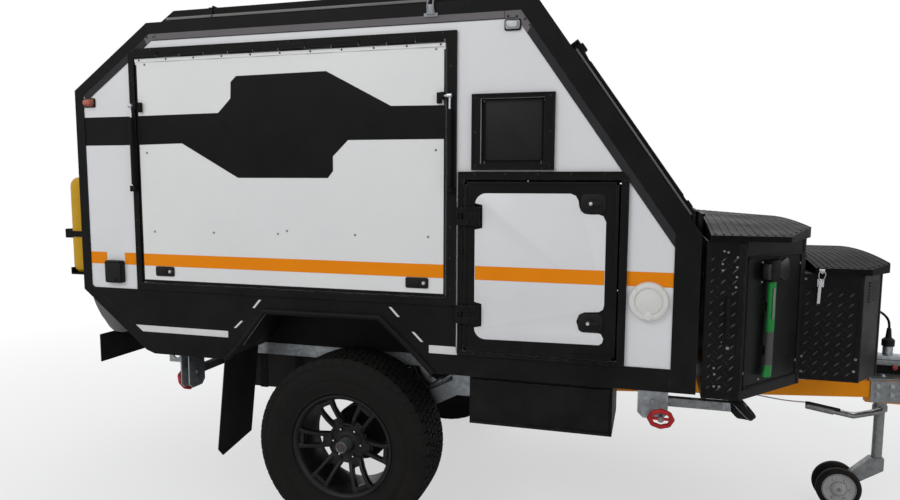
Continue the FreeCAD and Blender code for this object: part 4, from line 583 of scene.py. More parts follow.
def moulded_plastic(name, colour, other, roughness=0.45, scale=650.0, shine=0.25):
    finish = Finish(name, colour, roughness, edge=0.002).drift(other, 12.0, 0.12)
    return finish.dust(0.05).grain(scale, 0.0004, 0.45).done(Specular_IOR_Level=shine)


def lens(name, colour):
    finish = Finish(name, colour, 0.12, edge=0.001).drift(tuple(part * 0.7 for part in colour), 60.0, 0.05)
    ribs = add(
        finish.tree, "ShaderNodeTexWave", {"wave_type": "BANDS", "bands_direction": "Z"},
        Vector=finish.place, Scale=260.0)
    finish.bump(ribs.outputs["Fac"], 0.0006, 0.3)
    return finish.done(Coat_Weight=0.8, Coat_Roughness=0.05)


def window_black():
    finish = Finish("window_black", (0.0075, 0.0075, 0.0078), 0.46, edge=0.002)
    finish.drift((0.011, 0.011, 0.0115), 6.0, 0.08)
    return finish.grain(240.0, 0.0009, 0.7).done(Specular_IOR_Level=0.16)


def canvas_grey():
    finish = Finish("canvas_grey", (0.080, 0.078, 0.078), 0.82, edge=0.002)
    finish.drift((0.125, 0.12, 0.12), 5.0, 0.1)
    node = effect(finish.tree, weave, Place=finish.place, Scale=260.0)
    finish.dust(0.15, (0.30, 0.28, 0.25), 1.4).bump(node.outputs["Height"], 0.0006, 0.6)
    return finish.done(Sheen_Weight=0.2)


white_panel = coated_panel("white_panel", (0.775, 0.775, 0.785), (0.715, 0.715, 0.727))
hatch_white = coated_panel("hatch_white", (0.80, 0.80, 0.79), (0.75, 0.75, 0.745))
rail_black = powder_coat("rail_black", (0.0045, 0.0047, 0.0050), (0.0072, 0.0074, 0.0078))
strip_grey = powder_coat("strip_grey", (0.135, 0.125, 0.130), (0.165, 0.155, 0.160), wear=0.15)
strip_pale = powder_coat("strip_pale", (0.20, 0.195, 0.185), (0.28, 0.27, 0.26), wear=0.15)
slope_grey = powder_coat("slope_grey", (0.024, 0.024, 0.026), (0.034, 0.034, 0.036), wear=0.15)
sheet_black = powder_coat("sheet_black", (0.0044, 0.0043, 0.0044), (0.0072, 0.0070, 0.0068), 0.5)
lid_black = powder_coat("lid_black", (0.0044, 0.0043, 0.0044), (0.0068, 0.0066, 0.0065), 0.5, shine=0.03)
band_black = powder_coat("band_black", (0.0045, 0.0045, 0.0047), (0.0062, 0.0062, 0.0064), 0.40, wear=0.05)
stripe_orange = powder_coat(
    "stripe_orange", (0.88, 0.265, 0.005), (0.83, 0.24, 0.004), 0.38, (0.9, 0.6, 0.3), 0.05, 0.03)
beam_orange = powder_coat(
    "beam_orange", (0.92, 0.31, 0.006), (0.84, 0.27, 0.005), 0.36, (0.35, 0.30, 0.26), 0.6, 0.08)
galvanised = zinc_coat()
zinc_dull = zinc_coat("zinc_dull", (0.27, 0.285, 0.29), (0.12, 0.125, 0.13), 0.2)
steel_bright = bright_steel()
tyre_rubber = tread_rubber()
black_alloy = alloy_black()
plate_black = tread_plate("plate_black", (0.0036, 0.0036, 0.0038), (0.0060, 0.0060, 0.0063), 0.34, 0.09)
# The next two are copies of the stud finish: the first, brighter and glossier, is a painted highlight for
# the studs that lean one way; the second is the plain one for the other way
stud_painted_highlight = tread_plate("stud_painted_highlight", (0.050, 0.050, 0.051), (0.070, 0.070, 0.071), 0.24, 0.5)
stud_without_glint = tread_plate("stud_without_glint", (0.006, 0.006, 0.0063), (0.010, 0.010, 0.0105), 0.32, 0.16)
plastic_black = moulded_plastic(
    "plastic_black", (0.0060, 0.0060, 0.0060), (0.0100, 0.0100, 0.0100), shine=0.14)
rubber_black = moulded_plastic(
    "rubber_black", (0.0055, 0.0055, 0.0055), (0.0090, 0.0087, 0.0084), 0.68, 380.0, 0.10)
plastic_white = moulded_plastic("plastic_white", (0.74, 0.73, 0.70), (0.70, 0.69, 0.66), 0.38, 500.0)
# The can's yellow is darker than the moulding's own colour: partly its colour, partly painted shade of the
# can's place on the rear wall
plastic_yellow = moulded_plastic("plastic_yellow", (0.62, 0.35, 0.008), (0.55, 0.30, 0.006), 0.42)
plastic_green = moulded_plastic("plastic_green", (0.010, 0.24, 0.042), (0.008, 0.19, 0.034), 0.35)
plastic_grey = moulded_plastic("plastic_grey", (0.055, 0.053, 0.051), (0.075, 0.072, 0.070), 0.5)
red_coat = powder_coat(
    "red_coat", (0.50, 0.008, 0.012), (0.42, 0.006, 0.010), 0.36, (0.4, 0.36, 0.34), 0.4, shine=0.3)
wheel_grey = moulded_plastic("wheel_grey", (0.42, 0.42, 0.42), (0.34, 0.34, 0.34), 0.42)
label_white = moulded_plastic("label_white", (0.72, 0.72, 0.70), (0.66, 0.66, 0.65), 0.4)
screw_steel = powder_coat("screw_steel", (0.30, 0.31, 0.32), (0.20, 0.21, 0.22), 0.34, shine=0.4)
bronze_dull = powder_coat("bronze_dull", (0.060, 0.048, 0.042), (0.085, 0.070, 0.060), 0.45)
axe_steel = powder_coat(
    "axe_steel", (0.010, 0.009, 0.0085), (0.022, 0.020, 0.018), 0.40, (0.22, 0.21, 0.20), 0.7,
    shine=0.2)
screw_black = powder_coat("screw_black", (0.008, 0.008, 0.009), (0.014, 0.014, 0.014), 0.4, shine=0.2)
lens_amber = lens("lens_amber", (0.46, 0.055, 0.008))
lens_red = lens("lens_red", (0.52, 0.012, 0.012))
lens_clear = lens("lens_clear", (0.62, 0.64, 0.66))
window_panel_black = window_black()
canvas = canvas_grey()


def dress(material, *names):
    for name in names:
        for material_slot in nodes[name].material_slots:
            material_slot.material = material


# Camera and lead come first

lead_points = (
    (2.202, 0.0, 0.990), (2.232, 0.0, 0.990), (2.262, 0.0, 0.987), (2.290, 0.001, 0.979),
    (2.315, 0.001, 0.965), (2.334, 0.001, 0.946), (2.345, 0.0, 0.922), (2.345, 0.0, 0.897))
lead_radius = 0.0055


def trailer_lead():
    curve = bpy.data.curves.new("trailer_lead_sheath", "CURVE")
    curve.dimensions = "3D"
    spline = curve.splines.new("NURBS")
    spline.points.add(len(lead_points) - 1)
    for point, place in zip(spline.points, lead_points):
        point.co = (*at(*place), 1.0)
    spline.order_u = 3
    spline.use_endpoint_u = True
    spline.resolution_u = 12
    curve.bevel_depth = lead_radius
    curve.bevel_resolution = 5
    curve.use_fill_caps = True
    curve.materials.append(rubber_black)
    lead = bpy.data.objects.new("trailer_lead_sheath", curve)
    bpy.context.scene.collection.objects.link(lead)
    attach(lead, "trailer")
    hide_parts("trailer_lead")


make_camera()
trailer_lead()


# Tyres: a carcass with fine ribs on its wall, and rows of tread blocks

tyre_centre = Vector((axle_x, (tyre_low.y + tyre_high.y) / 2, (tyre_low.z + tyre_high.z) / 2))
tyre_radius = (tyre_high.z - tyre_low.z) / 2
tyre_half = (tyre_high.y - tyre_low.y) / 2
tread_depth = 0.0095
pitches = 50


def wheel_place(radius, angle, width):
    """A place in the right wheel: radius, angle about the axle and distance inboard."""
    return tyre_centre + Vector((radius * math.cos(angle), width, radius * math.sin(angle)))


def tread_top(width):
    return tyre_radius - 0.005 * (abs(width) / tyre_half) ** 2


def tyre_carcass(form):
    floor = tyre_radius - tread_depth
    wall = [
        (0.216, 0.098), (0.222, 0.105), (0.232, 0.107), (0.238, 0.112), (0.241, 0.118), (0.246, 0.1195),
        (0.250, 0.1180), (0.268, 0.1245), (0.288, 0.1290), (0.292, 0.1300), (0.296, 0.1290),
        (0.318, 0.1300), (0.336, 0.1290), (0.340, 0.1298), (0.344, 0.1285), (0.362, 0.1252),
        (0.378, 0.1226), (floor - 0.002, 0.1172), (floor + 0.004, 0.1130), (floor, 0.104),
        (floor + 0.001, 0.050), (floor + 0.0015, 0.0)]
    section = [(radius, -width) for radius, width in wall]
    section += [(radius, width) for radius, width in reversed(wall[:-1])]
    lathe(form, section, tyre_centre, axle_way, 116)


def tread_block(form, angle, outline, sink=0.0015):
    """A block with an outline of angle and width, standing on the carcass."""
    low, high = [], []
    middle_angle = sum(a for a, w in outline) / len(outline)
    middle_width = sum(w for a, w in outline) / len(outline)
    for a, w in outline:
        low.append(form.verts.new(wheel_place(tyre_radius - tread_depth - sink, angle + a, w)))
        near_a = middle_angle + (a - middle_angle) * 0.93
        near_w = middle_width + (w - middle_width) * 0.95
        high.append(form.verts.new(wheel_place(tread_top(near_w), angle + near_a, near_w)))
    face_ring(form, [low, high], True, 0)
    cap(form, high, 0)


def shoulder_lug(form, angle, half_angle, side, length):
    """A lug that wraps from the tread's edge down the wall."""
    floor = tyre_radius - tread_depth
    base = [(floor, 0.110), (floor - 0.004, 0.1145), (0.377, 0.1195), (0.377 - length, 0.1240)]
    rise = [(tread_top(0.114) - 0.001, 0.112), (0.3915, 0.1190), (0.3790, 0.1245), (0.379 - length, 0.1262)]
    rings = []
    for share in (-1, 1):
        turn = angle + half_angle * share
        inner = [form.verts.new(wheel_place(r, turn, side * w)) for r, w in base]
        outer = [
            form.verts.new(wheel_place(r, turn - half_angle * share * 0.12, side * w)) for r, w in rise]
        rings.append((inner, outer))
    (inner_a, outer_a), (inner_b, outer_b) = rings
    face_ring(form, [inner_a, outer_a, outer_b, inner_b], False, 0)
    for ends in (
            (inner_a[0], outer_a[0], outer_b[0], inner_b[0]),
            (inner_a[-1], outer_a[-1], outer_b[-1], inner_b[-1])):
        form.faces.new(ends)


def tyre_tread(form):
    step = math.tau / pitches
    for index in range(pitches):
        angle = step * index
        for side in (-1, 1):
            lean = side * step * 0.10
            for part in (0, 1):
                start = -step * 0.46 + part * step * 0.47
                end = start + step * 0.43
                shift = angle + (step * 0.5 if side > 0 else 0)
                tread_block(form, shift, [
                    (start, side * 0.003), (end, side * 0.003), (end + lean, side * 0.018),
                    (end + lean * 0.4, side * 0.035), (start + lean * 0.4, side * 0.035),
                    (start + lean, side * 0.018)])
                tread_block(form, shift + step * 0.25, [
                    (start, side * 0.042), (end, side * 0.042), (end - lean, side * 0.058),
                    (end - lean * 0.3, side * 0.074), (start - lean * 0.3, side * 0.074),
                    (start - lean, side * 0.058)])
            shoulder = angle + (step * 0.25 if side > 0 else step * 0.6)
            tread_block(form, shoulder, [
                (-step * 0.44, side * 0.080), (step * 0.44, side * 0.080), (step * 0.43, side * 0.114),
                (-step * 0.43, side * 0.114)])
            long_lug = 0.012 if index % 2 else 0.007
            shoulder_lug(form, shoulder, step * 0.455, side, long_lug)


def wall_ribs(form):
    count = 180
    for index in range(count):
        angle = math.tau * index / count
        for side in (-1, 1):
            outline = [
                wheel_place(0.300, angle - 0.006, side * 0.1288),
                wheel_place(0.300, angle + 0.006, side * 0.1288),
                wheel_place(0.314, angle + 0.006, side * 0.1294),
                wheel_place(0.314, angle - 0.006, side * 0.1294)]
            slab(form, outline, (0, side * 0.0022, 0), 0, 0.7)


def whole_tyre(form):
    tyre_carcass(form)
    tyre_tread(form)
    wall_ribs(form)


# Rims: a stepped barrel, six pairs of spokes, a hub with lug nuts and a cap

spoke_pairs = 6
first_pair = math.radians(56)
hub_face_y = -0.050


def rim_barrel(form):
    outer = [
        (0.2085, -0.060), (0.2090, -0.088), (0.2125, -0.1000), (0.2180, -0.1075), (0.2230, -0.1130),
        (0.2335, -0.1142), (0.2342, -0.1105), (0.2290, -0.1068), (0.2160, -0.1050), (0.2150, -0.090),
        (0.2130, -0.060), (0.2100, 0.0), (0.2150, 0.090), (0.2160, 0.1050), (0.2330, 0.1085),
        (0.2335, 0.1125), (0.2180, 0.1120), (0.2100, 0.096), (0.2060, 0.060), (0.2030, 0.0),
        (0.2085, -0.060)]
    lathe(form, outer, tyre_centre, axle_way, 96)


def spoke_bar(form, angle, side):
    """One bar of a pair: narrow and deep at the hub, broad and flush at the rim."""
    radial = Vector((math.cos(angle), 0, math.sin(angle)))
    across = Vector((-math.sin(angle), 0, math.cos(angle))) * side
    stations = (
        (0.080, 0.0225, 0.0125, hub_face_y - 0.005, 0.026), (0.096, 0.0240, 0.0105, -0.0660, 0.029),
        (0.130, 0.0275, 0.0092, -0.0850, 0.028), (0.170, 0.0315, 0.0092, -0.096, 0.024),
        (0.196, 0.0345, 0.0110, -0.1005, 0.024), (0.2110, 0.0365, 0.0150, -0.1030, 0.026))
    rings = []
    for radius, offset, half, face, depth in stations:
        middle = tyre_centre + radial * radius + across * offset
        ring = []
        for share, y in (
                (-1, face + depth), (-0.9, face + 0.004), (-0.62, face), (0.62, face),
                (0.9, face + 0.004), (1, face + depth)):
            ring.append(form.verts.new(middle + across * (half * share) + Vector((0, y, 0))))
        rings.append(ring)
    closed_tube(form, rings)


def spoke_bridge(form, angle):
    """The web between two bars at the rim, with its two bolts, and the web at the hub."""
    radial = Vector((math.cos(angle), 0, math.sin(angle)))
    across = Vector((-math.sin(angle), 0, math.cos(angle)))

    def wedge(r0, r1, w0, w1, y0, y1):
        corners = [
            tyre_centre + radial * r0 - across * w0, tyre_centre + radial * r0 + across * w0,
            tyre_centre + radial * r1 + across * w1, tyre_centre + radial * r1 - across * w1]
        slab(form, [corner + Vector((0, y1, 0)) for corner in corners], (0, y0 - y1, 0), 0, 0.96)

    wedge(0.190, 0.210, 0.034, 0.038, -0.0985, -0.070)
    wedge(0.070, 0.116, 0.024, 0.028, -0.060, -0.032)
    for share in (-1, 1):
        place = tyre_centre + radial * 0.2015 + across * (0.020 * share) + Vector((0, -0.0985, 0))
        screw(form, place, outboard, 0.0052, 0.004)
        notch = tyre_centre + radial * 0.2170 + across * (0.052 * share) + Vector((0, -0.1075, 0))
        screw(form, notch, outboard, 0.0048, 0.0035)


def rim_hub(form):
    lathe(form, [
        (0, -0.026), (0.088, -0.026), (0.092, -0.036), (0.092, -0.052), (0.088, -0.058),
        (0.082, -0.058), (0.079, -0.0525), (0.076, -0.0510), (0.050, -0.0510), (0.040, -0.0540),
        (0.034, -0.0640), (0.0300, -0.0640), (0, -0.0640)], tyre_centre, axle_way, 72)
    for index in range(spoke_pairs):
        angle = first_pair + math.tau * index / spoke_pairs
        place = wheel_place(0.066, angle, -0.051)
        lathe(form, [(0.0125, 0.0), (0.0125, 0.0025), (0.0105, 0.0025), (0.0100, 0.0)], place, outboard, 20)
        lathe(form, [(0.0046, 0.0072), (0.0066, 0.0070), (0.0078, 0.0050), (0.0078, 0)], place, outboard, 6)
        lathe(form, [(0, 0.0084), (0.0026, 0.0082), (0.0044, 0.0070)], place, outboard, 12, 1)


def rim_cap(form):
    lathe(form, [
        (0.0195, -0.1165), (0.0205, -0.1190), (0.0220, -0.1200), (0.0248, -0.1195), (0.0262, -0.1175),
        (0.0268, -0.1120), (0.0270, -0.0640)], tyre_centre, axle_way, 40, 2)
    lathe(form, [
        (0, -0.1175), (0.0150, -0.1175), (0.0185, -0.1160), (0.0195, -0.1165)], tyre_centre, axle_way,
        40, 3)


def whole_rim(form):
    rim_barrel(form)
    for index in range(spoke_pairs):
        angle = first_pair + math.tau * index / spoke_pairs
        for side in (-1, 1):
            spoke_bar(form, angle, side)
        spoke_bridge(form, angle)
    rim_hub(form)
    rim_cap(form)


pair("tyre_tread_{}", whole_tyre, "wheel_{}", tyre_rubber, replaced="tyre_{}")
pair("alloy_{}", whole_rim, "wheel_{}", [black_alloy, steel_bright, zinc_dull, bronze_dull],
     bevel=0.0008, replaced="rim_{}")


def drum_cover(form):
    """The black cover round the brake drum, seen between the spokes."""
    lathe(form, [(0.030, 0.097), (0.126, 0.097), (0.1315, 0.103), (0.1315, 0.161), (0.030, 0.161)],
          tyre_centre, axle_way, 64)


pair("drum_cover_{}", drum_cover, "trailer", sheet_black, bevel=0.001)


# Side graphics: bare black band, orange stripe and skirt marks

band_low, band_high = 1.720, 1.848
stripe_low, stripe_high = 1.173, 1.228
rail_inner_rear_x = -1.262
hatch_x = (-0.965, 0.480)
hatch_z = (1.099, 2.097)
hatch_frame_x = (-1.000, 0.525)
door_x = (0.559, 1.154)
door_z = (0.885, 1.560)
door_frame_x = (0.534, 1.190)


def rear_band(form):
    side_slab(form, [
        (rail_inner_rear_x, band_low), (hatch_frame_x[0], band_low), (hatch_frame_x[0], band_high),
        (rail_inner_rear_x, band_high)], side_y, decal)


def hatch_band(form):
    side_slab(form, [
        (hatch_x[0] + 0.002, band_high), (-0.547, 1.852), (-0.484, 1.912), (-0.481, 1.981), (-0.454, 2.005),
        (-0.032, 2.009), (0.252, 1.861), (hatch_x[1] - 0.002, 1.858), (hatch_x[1] - 0.002, 1.727),
        (0.063, 1.728), (-0.006, 1.662), (-0.006, 1.602), (-0.030, 1.573), (-0.457, 1.573),
        (-0.735, 1.724), (hatch_x[0] + 0.002, band_low)], panel_y, decal)


stripe_stretches = {
    "right": ((rail_inner_rear_x, -1.172), (-1.072, hatch_frame_x[0]), (door_frame_x[1], 1.358)),
    "left": ((rail_inner_rear_x, hatch_frame_x[0]), (door_frame_x[1], 1.358))}


def body_stripe(side):
    """The orange stripe on the wall, which the power inlet breaks on the right."""
    form = bmesh.new()
    for x0, x1 in stripe_stretches[side]:
        block(form, at(x0, side_y, stripe_low), at(x1, side_y - decal, stripe_high))
    if side == "left":
        mirrored(form)
    piece("body_stripe_" + side, form, "trailer", stripe_orange)


def hatch_stripe(form):
    block(
        form, at(hatch_x[0] + 0.002, panel_y, stripe_low),
        at(hatch_x[1] - 0.002, panel_y - decal, stripe_high))


def skirt_marks(form):
    side_slab(form, [(-1.023, 0.893), (-0.531, 0.893), (-0.531, 0.8635), (-0.985, 0.8635)], skirt_y, decal)
    for (x0, z0), (x1, z1) in (
            ((-0.495, 0.909), (-0.459, 0.943)), ((-0.399, 1.004), (-0.366, 1.042)),
            ((0.242, 1.043), (0.280, 1.003)), ((0.343, 0.944), (0.382, 0.905))):
        side_slab(form, [
            (x0 - 0.006, z0), (x0 + 0.006, z0), (x1 + 0.006, z1), (x1 - 0.006, z1)], skirt_y, decal)
    side_slab(form, [(0.412, 0.894), (0.527, 0.894), (0.532, 0.861), (0.412, 0.861)], skirt_y, decal)


pair("rear_band_{}", rear_band, "trailer", band_black)
pair("hatch_band_{}", hatch_band, "hatch_{}", band_black)
body_stripe("right")
body_stripe("left")
pair("hatch_stripe_{}", hatch_stripe, "hatch_{}", stripe_orange)
pair("skirt_marks_{}", skirt_marks, "trailer", label_white)


# Rails: the strip inside the black rail, its seams and screws, and the rear cappings

body_outline = (
    (-1.308, 1.049), (-1.308, 1.971), (-0.903, 2.252), (0.831, 2.252), (1.450, 1.373), (1.450, 0.777),
    (-0.969, 0.777))
rail_widths = (0.046, 0.046, 0.048, 0.075, 0.092, 0.0, 0.046)
strip_widths = (0.020, 0.030, 0.027, 0.030, 0.0, 0.0, 0.0)


def inset(points, widths):
    lines = []
    count = len(points)
    for index in range(count):
        (x0, z0), (x1, z1) = points[index], points[(index + 1) % count]
        length = math.hypot(x1 - x0, z1 - z0)
        dx, dz = (x1 - x0) / length, (z1 - z0) / length
        lines.append((x0 + dz * widths[index], z0 - dx * widths[index], dx, dz))
    corners = []
    for index in range(count):
        ax, az, adx, adz = lines[index - 1]
        bx, bz, bdx, bdz = lines[index]
        along = ((bx - ax) * bdz - (bz - az) * bdx) / (adx * bdz - adz * bdx)
        corners.append((ax + adx * along, az + adz * along))
    return corners


rail_inner = inset(body_outline, rail_widths)
strip_inner = inset(body_outline, [rail + strip for rail, strip in zip(rail_widths, strip_widths)])
strip_seams = (-0.854, 0.710)
strip_screws = (
    (-0.902, 2.189), (-0.866, 2.189), (0.724, 2.183), (0.758, 2.181), (0.789, 2.169), (0.808, 2.146))
corner_share = 0.07


def between(first, second, share):
    return tuple(a + (b - a) * share for a, b in zip(first, second))


def strip_stretch(form, index, start, end, paint):
    outer, inner = (rail_inner[index], rail_inner[index + 1]), (strip_inner[index], strip_inner[index + 1])
    side_slab(form, [
        between(*outer, start), between(*outer, end), between(*inner, end), between(*inner, start)],
        side_y, 0.003, paint)


def rail_strip(form):
    """The strip inside the rail, pale on the roof's edge and its corner plates, with seams and a bead."""
    strip_stretch(form, 1, 0, 1 - corner_share, 1)
    strip_stretch(form, 1, 1 - corner_share, 1, 0)
    strip_stretch(form, 2, 0, 1, 0)
    strip_stretch(form, 3, 0, corner_share, 0)
    strip_stretch(form, 3, corner_share, 1, 1)
    low, high = strip_inner[2][1], rail_inner[2][1]
    for x in strip_seams:
        block(form, at(x - 0.001, side_y, low), at(x + 0.001, side_y - 0.0034, high), 2)
    block(form, at(strip_inner[2][0], side_y, low - 0.003), at(strip_inner[3][0], side_y - 0.0028, low), 2)
    for x, z in strip_screws:
        side_screw(form, x, side_y - 0.003, z, *small_screw, 2)


def rear_cappings():
    """Black folded strips over the rear panels' joints, with a row of screws each."""
    form = bmesh.new()
    reach = 0.880
    lap, sheet = 0.034, 0.003
    for index in (0, 1, 2):
        joint = Vector(at(body_outline[index][0], 0, body_outline[index][1]))
        for other in (index - 1, index + 1):
            if (index, other) in ((0, -1), (2, 3)):
                continue
            far = Vector(at(body_outline[other][0], 0, body_outline[other][1]))
            way = (far - joint).normalized()
            out = Vector((-abs(way.z), 0, abs(way.x)))
            side = leftward * reach
            slab(form, [
                joint - side, joint + side, joint + side + way * lap, joint - side + way * lap],
                out * sheet)
            for step in range(12):
                across = reach * (-0.96 + 1.92 * step / 11)
                place = joint + way * (lap * 0.55) + out * sheet + leftward * across
                screw(form, place, out, 0.005, 0.0022, 1)
    piece("rear_cappings", form, "trailer", [rail_black, screw_steel])


rear_cappings()
pair("rail_strip_{}", rail_strip, "trailer", [strip_grey, slope_grey, screw_black])


# Side hatch: hinge strip, latches, screws and the struts' covers

hinge_place = (-0.9673, 2.104)
knuckle_count = 12
knuckle_pitch = (hatch_x[1] - hatch_x[0]) / knuckle_count
strut_bracket_x = ((-0.9656, -0.9504), (0.4654, 0.4806))
strut_high_z = 1.892


def hatch_head(form):
    """The white strip along the hinge's moving leaf, the black seal over it and the screws."""
    block(form, at(hatch_x[0], panel_y, 2.082), at(hatch_x[1], -0.9612, 2.097))
    block(form, at(hatch_x[0], panel_y, 2.097), at(hatch_x[1], -0.9625, 2.1032), 1)
    for index in range(11):
        side_screw(form, -0.9415 + 0.1402 * index, -0.9612, 2.0905, 0.0042, 0.0022, 1)


def hinge_sleeves(form):
    """Black paint on the knuckles that turn with the hatch."""
    y, z = hinge_place
    for index in range(1, knuckle_count, 2):
        start = hatch_x[0] + knuckle_pitch * index
        bar(form, at(start + 0.001, y, z), at(start + knuckle_pitch - 0.001, y, z), 0.0053, 14)


def hatch_screws(form):
    places = (
        (-0.916, 2.071), (-0.921, 1.684), (0.441, 1.684), (0.441, 2.074), (-0.895, 1.330), (-0.586, 1.332),
        (-0.269, 1.334), (-0.225, 1.348), (0.090, 1.338), (0.409, 1.338))
    for x, z in places:
        side_screw(form, x, panel_y, z, 0.0052, 0.0025)


def strut_covers(form):
    """Black covers on the struts' upper brackets."""
    for (x0, x1), reach in zip(strut_bracket_x, (0.016, -0.016)):
        block(form, at(x0, panel_y, strut_high_z - 0.0136), at(x1, -0.9876, strut_high_z + 0.0136))
        near, far = sorted((x0 if reach < 0 else x1, (x0 if reach < 0 else x1) + reach))
        block(form, at(near, panel_y, strut_high_z - 0.028), at(far, -0.9780, strut_high_z + 0.0136))


def push_latch(form, x, z, width=0.098, height=0.044):
    """A flush latch: bezel, dished well, paddle and key barrel."""
    y = panel_y - decal
    rim = rounded_rectangle(x, z, width, height, 0.008)
    side_slab(form, rim, y, 0.004)
    well = rounded_rectangle(x, z, width - 0.012, height - 0.012, 0.005)
    side_slab(form, well, y - 0.004, 0.0012, 0, 0.96)
    paddle = rounded_rectangle(x - 0.014, z, width * 0.5, height - 0.018, 0.004)
    side_slab(form, paddle, y - 0.0052, 0.0035, 0, 0.93)
    lathe(form, [(0, 0.009), (0.006, 0.009), (0.008, 0.007), (0.0085, 0)],
          at(x + 0.030, y - 0.004, z), outboard, 20, 1)


def hatch_latches(form):
    for x in (-0.846, 0.362):
        push_latch(form, x, 1.150)


def hatch_edge_trim(form):
    """The folded black edge that frames the panel."""
    x0, x1 = hatch_x
    z0, z1 = hatch_z
    width = 0.010
    for low, high in (
            ((x0, z0), (x1, z0 + width)), ((x0, z0), (x0 + width * 0.6, z1 - 0.025)),
            ((x1 - width * 0.6, z0), (x1, z1 - 0.025))):
        block(form, at(low[0], panel_y, low[1]), at(high[0], panel_y - 0.0012, high[1]))


pair("hatch_head_{}", hatch_head, "hatch_{}", [hatch_white, screw_black])
pair("hinge_sleeves_{}", hinge_sleeves, "hatch_{}", sheet_black)
pair("strut_covers_{}", strut_covers, "hatch_{}", sheet_black, bevel=0.0006)
pair("hatch_screws_{}", hatch_screws, "hatch_{}", screw_steel)
pair(
    "hatch_latches_{}", hatch_latches, "hatch_{}", [plastic_black, steel_bright],
    bevel=0.0006)
pair("hatch_edge_trim_{}", hatch_edge_trim, "hatch_{}", sheet_black)


# Door: white panel with its cut-outs, latch plates, seams and stripe

door_panel_x = (0.603, 1.110)
door_panel_z = (0.935, 1.515)
door_latch_x = 1.060
door_latch_z = (1.479, 1.025)
door_hinge_z = (1.424, 1.032)
door_latch_edge = (
    (0.975, 1.516), (0.995, 1.508), (1.005, 1.490), (1.008, 1.468), (1.015, 1.452), (1.029, 1.441),
    (1.051, 1.438), (1.081, 1.439), (1.098, 1.433), (1.109, 1.412), (1.110, 1.096), (1.106, 1.079),
    (1.091, 1.069), (1.036, 1.065), (1.017, 1.054), (1.007, 1.028), (1.016, 1.003), (1.038, 0.989),
    (1.085, 0.989), (1.101, 0.984), (1.110, 0.966), (1.106, 0.950), (1.094, 0.941))


def arc(cx, cz, radius, start, end, steps=6):
    places = []
    for step in range(steps + 1):
        angle = math.radians(start + (end - start) * step / steps)
        places.append((cx + radius * math.cos(angle), cz + radius * math.sin(angle)))
    return places


def door_outline():
    """The panel's outline: round corners, hinge notches behind and latch bays in front."""
    x0 = door_panel_x[0]
    z0, z1 = door_panel_z
    big = 0.045
    points = arc(x0 + big, z1 - big, big, 180, 90)
    points += door_latch_edge
    points += arc(x0 + big, z0 + big, big, 270, 180)
    for z in (1.032, 1.424):
        points += [(x0, z - 0.052), (x0 + 0.030, z - 0.045), (x0 + 0.030, z + 0.045), (x0, z + 0.052)]
    return points


def door_panel(form):
    side_slab(form, door_outline(), panel_y, 0.0022)


def door_stripe(form):
    y = panel_y - 0.0022
    block(
        form, at(door_panel_x[0] + 0.002, y, stripe_low),
        at(door_panel_x[1] - 0.002, y - decal, stripe_high))


def door_latches(form):
    x, y = door_latch_x, panel_y
    barrel_x = x - 0.008
    for z in door_latch_z:
        side_plate(form, x, z, 0.092, 0.074, 0.020, y, 0.005)
        side_plate(form, x, z, 0.072, 0.054, 0.014, y - 0.005, 0.002, 0, 0.95)
        lathe(form, [
            (0, 0.014), (0.015, 0.014), (0.0165, 0.012), (0.0165, 0)], at(barrel_x, y - 0.005, z),
            outboard, 28)
        side_slab(form, [
            (barrel_x, z - 0.009), (x + 0.032, z - 0.006), (x + 0.032, z + 0.006),
            (barrel_x, z + 0.009)], y - 0.017, 0.005)
        lathe(form, [(0, 0.003), (0.007, 0.003), (0.008, 0)], at(barrel_x, y - 0.022, z), outboard, 16, 1)


def door_seam(form):
    """The folded lip round the door and the bolts of its hinges."""
    x0, x1 = door_x
    z0, z1 = door_z
    width = 0.012
    for low, high in (
            ((x0, z0), (x1, z0 + width)), ((x0, z1 - width), (x1, z1)), ((x0, z0), (x0 + width, z1)),
            ((x1 - width, z0), (x1, z1))):
        block(form, at(low[0], panel_y, low[1]), at(high[0], panel_y - 0.003, high[1]))
    for z in door_hinge_z:
        for x in (0.580, 0.612):
            for dz in (-0.024, 0.024):
                side_screw(form, x, -0.9790, z + dz, 0.0055, 0.0035)


def frame_lips(form):
    """Raised lips on the fixed frames round the door and the window."""
    y = frame_y
    for x0, x1, z0, z1, width in (
            (door_frame_x[0], door_frame_x[1], 0.865, 1.599, 0.006), (0.587, 0.910, 1.605, 1.897, 0.008)):
        block(form, at(x0, y, z0), at(x1, y - 0.003, z0 + width))
        block(form, at(x0, y, z1 - width), at(x1 - 0.032, y - 0.003, z1))
        block(form, at(x0, y, z0 + width), at(x0 + width, y - 0.003, z1 - width))
        block(form, at(x1 - width, y, z0 + width), at(x1, y - 0.003, z1 - 0.034))


def frame_screws(form):
    y = frame_y
    for x in (-0.975, -0.922, -0.880, -0.564, -0.200, 0.160, 0.470):
        side_screw(form, x, y, 2.134, *small_screw)
    for x in (-0.985, 0.503):
        for step in range(8):
            z = 1.13 + 0.125 * step
            if abs(z - 1.524) > 0.03:
                side_screw(form, x, y, z, *small_screw)
    for z in (0.875, 1.590):
        for step in range(5):
            side_screw(form, 0.60 + 0.125 * step, y, z, *small_screw)
    for x, z in (
            (0.602, 1.62), (0.602, 1.882), (0.893, 1.62), (0.893, 1.882), (0.602, 1.75), (0.893, 1.75)):
        side_screw(form, x, y, z, *small_screw)


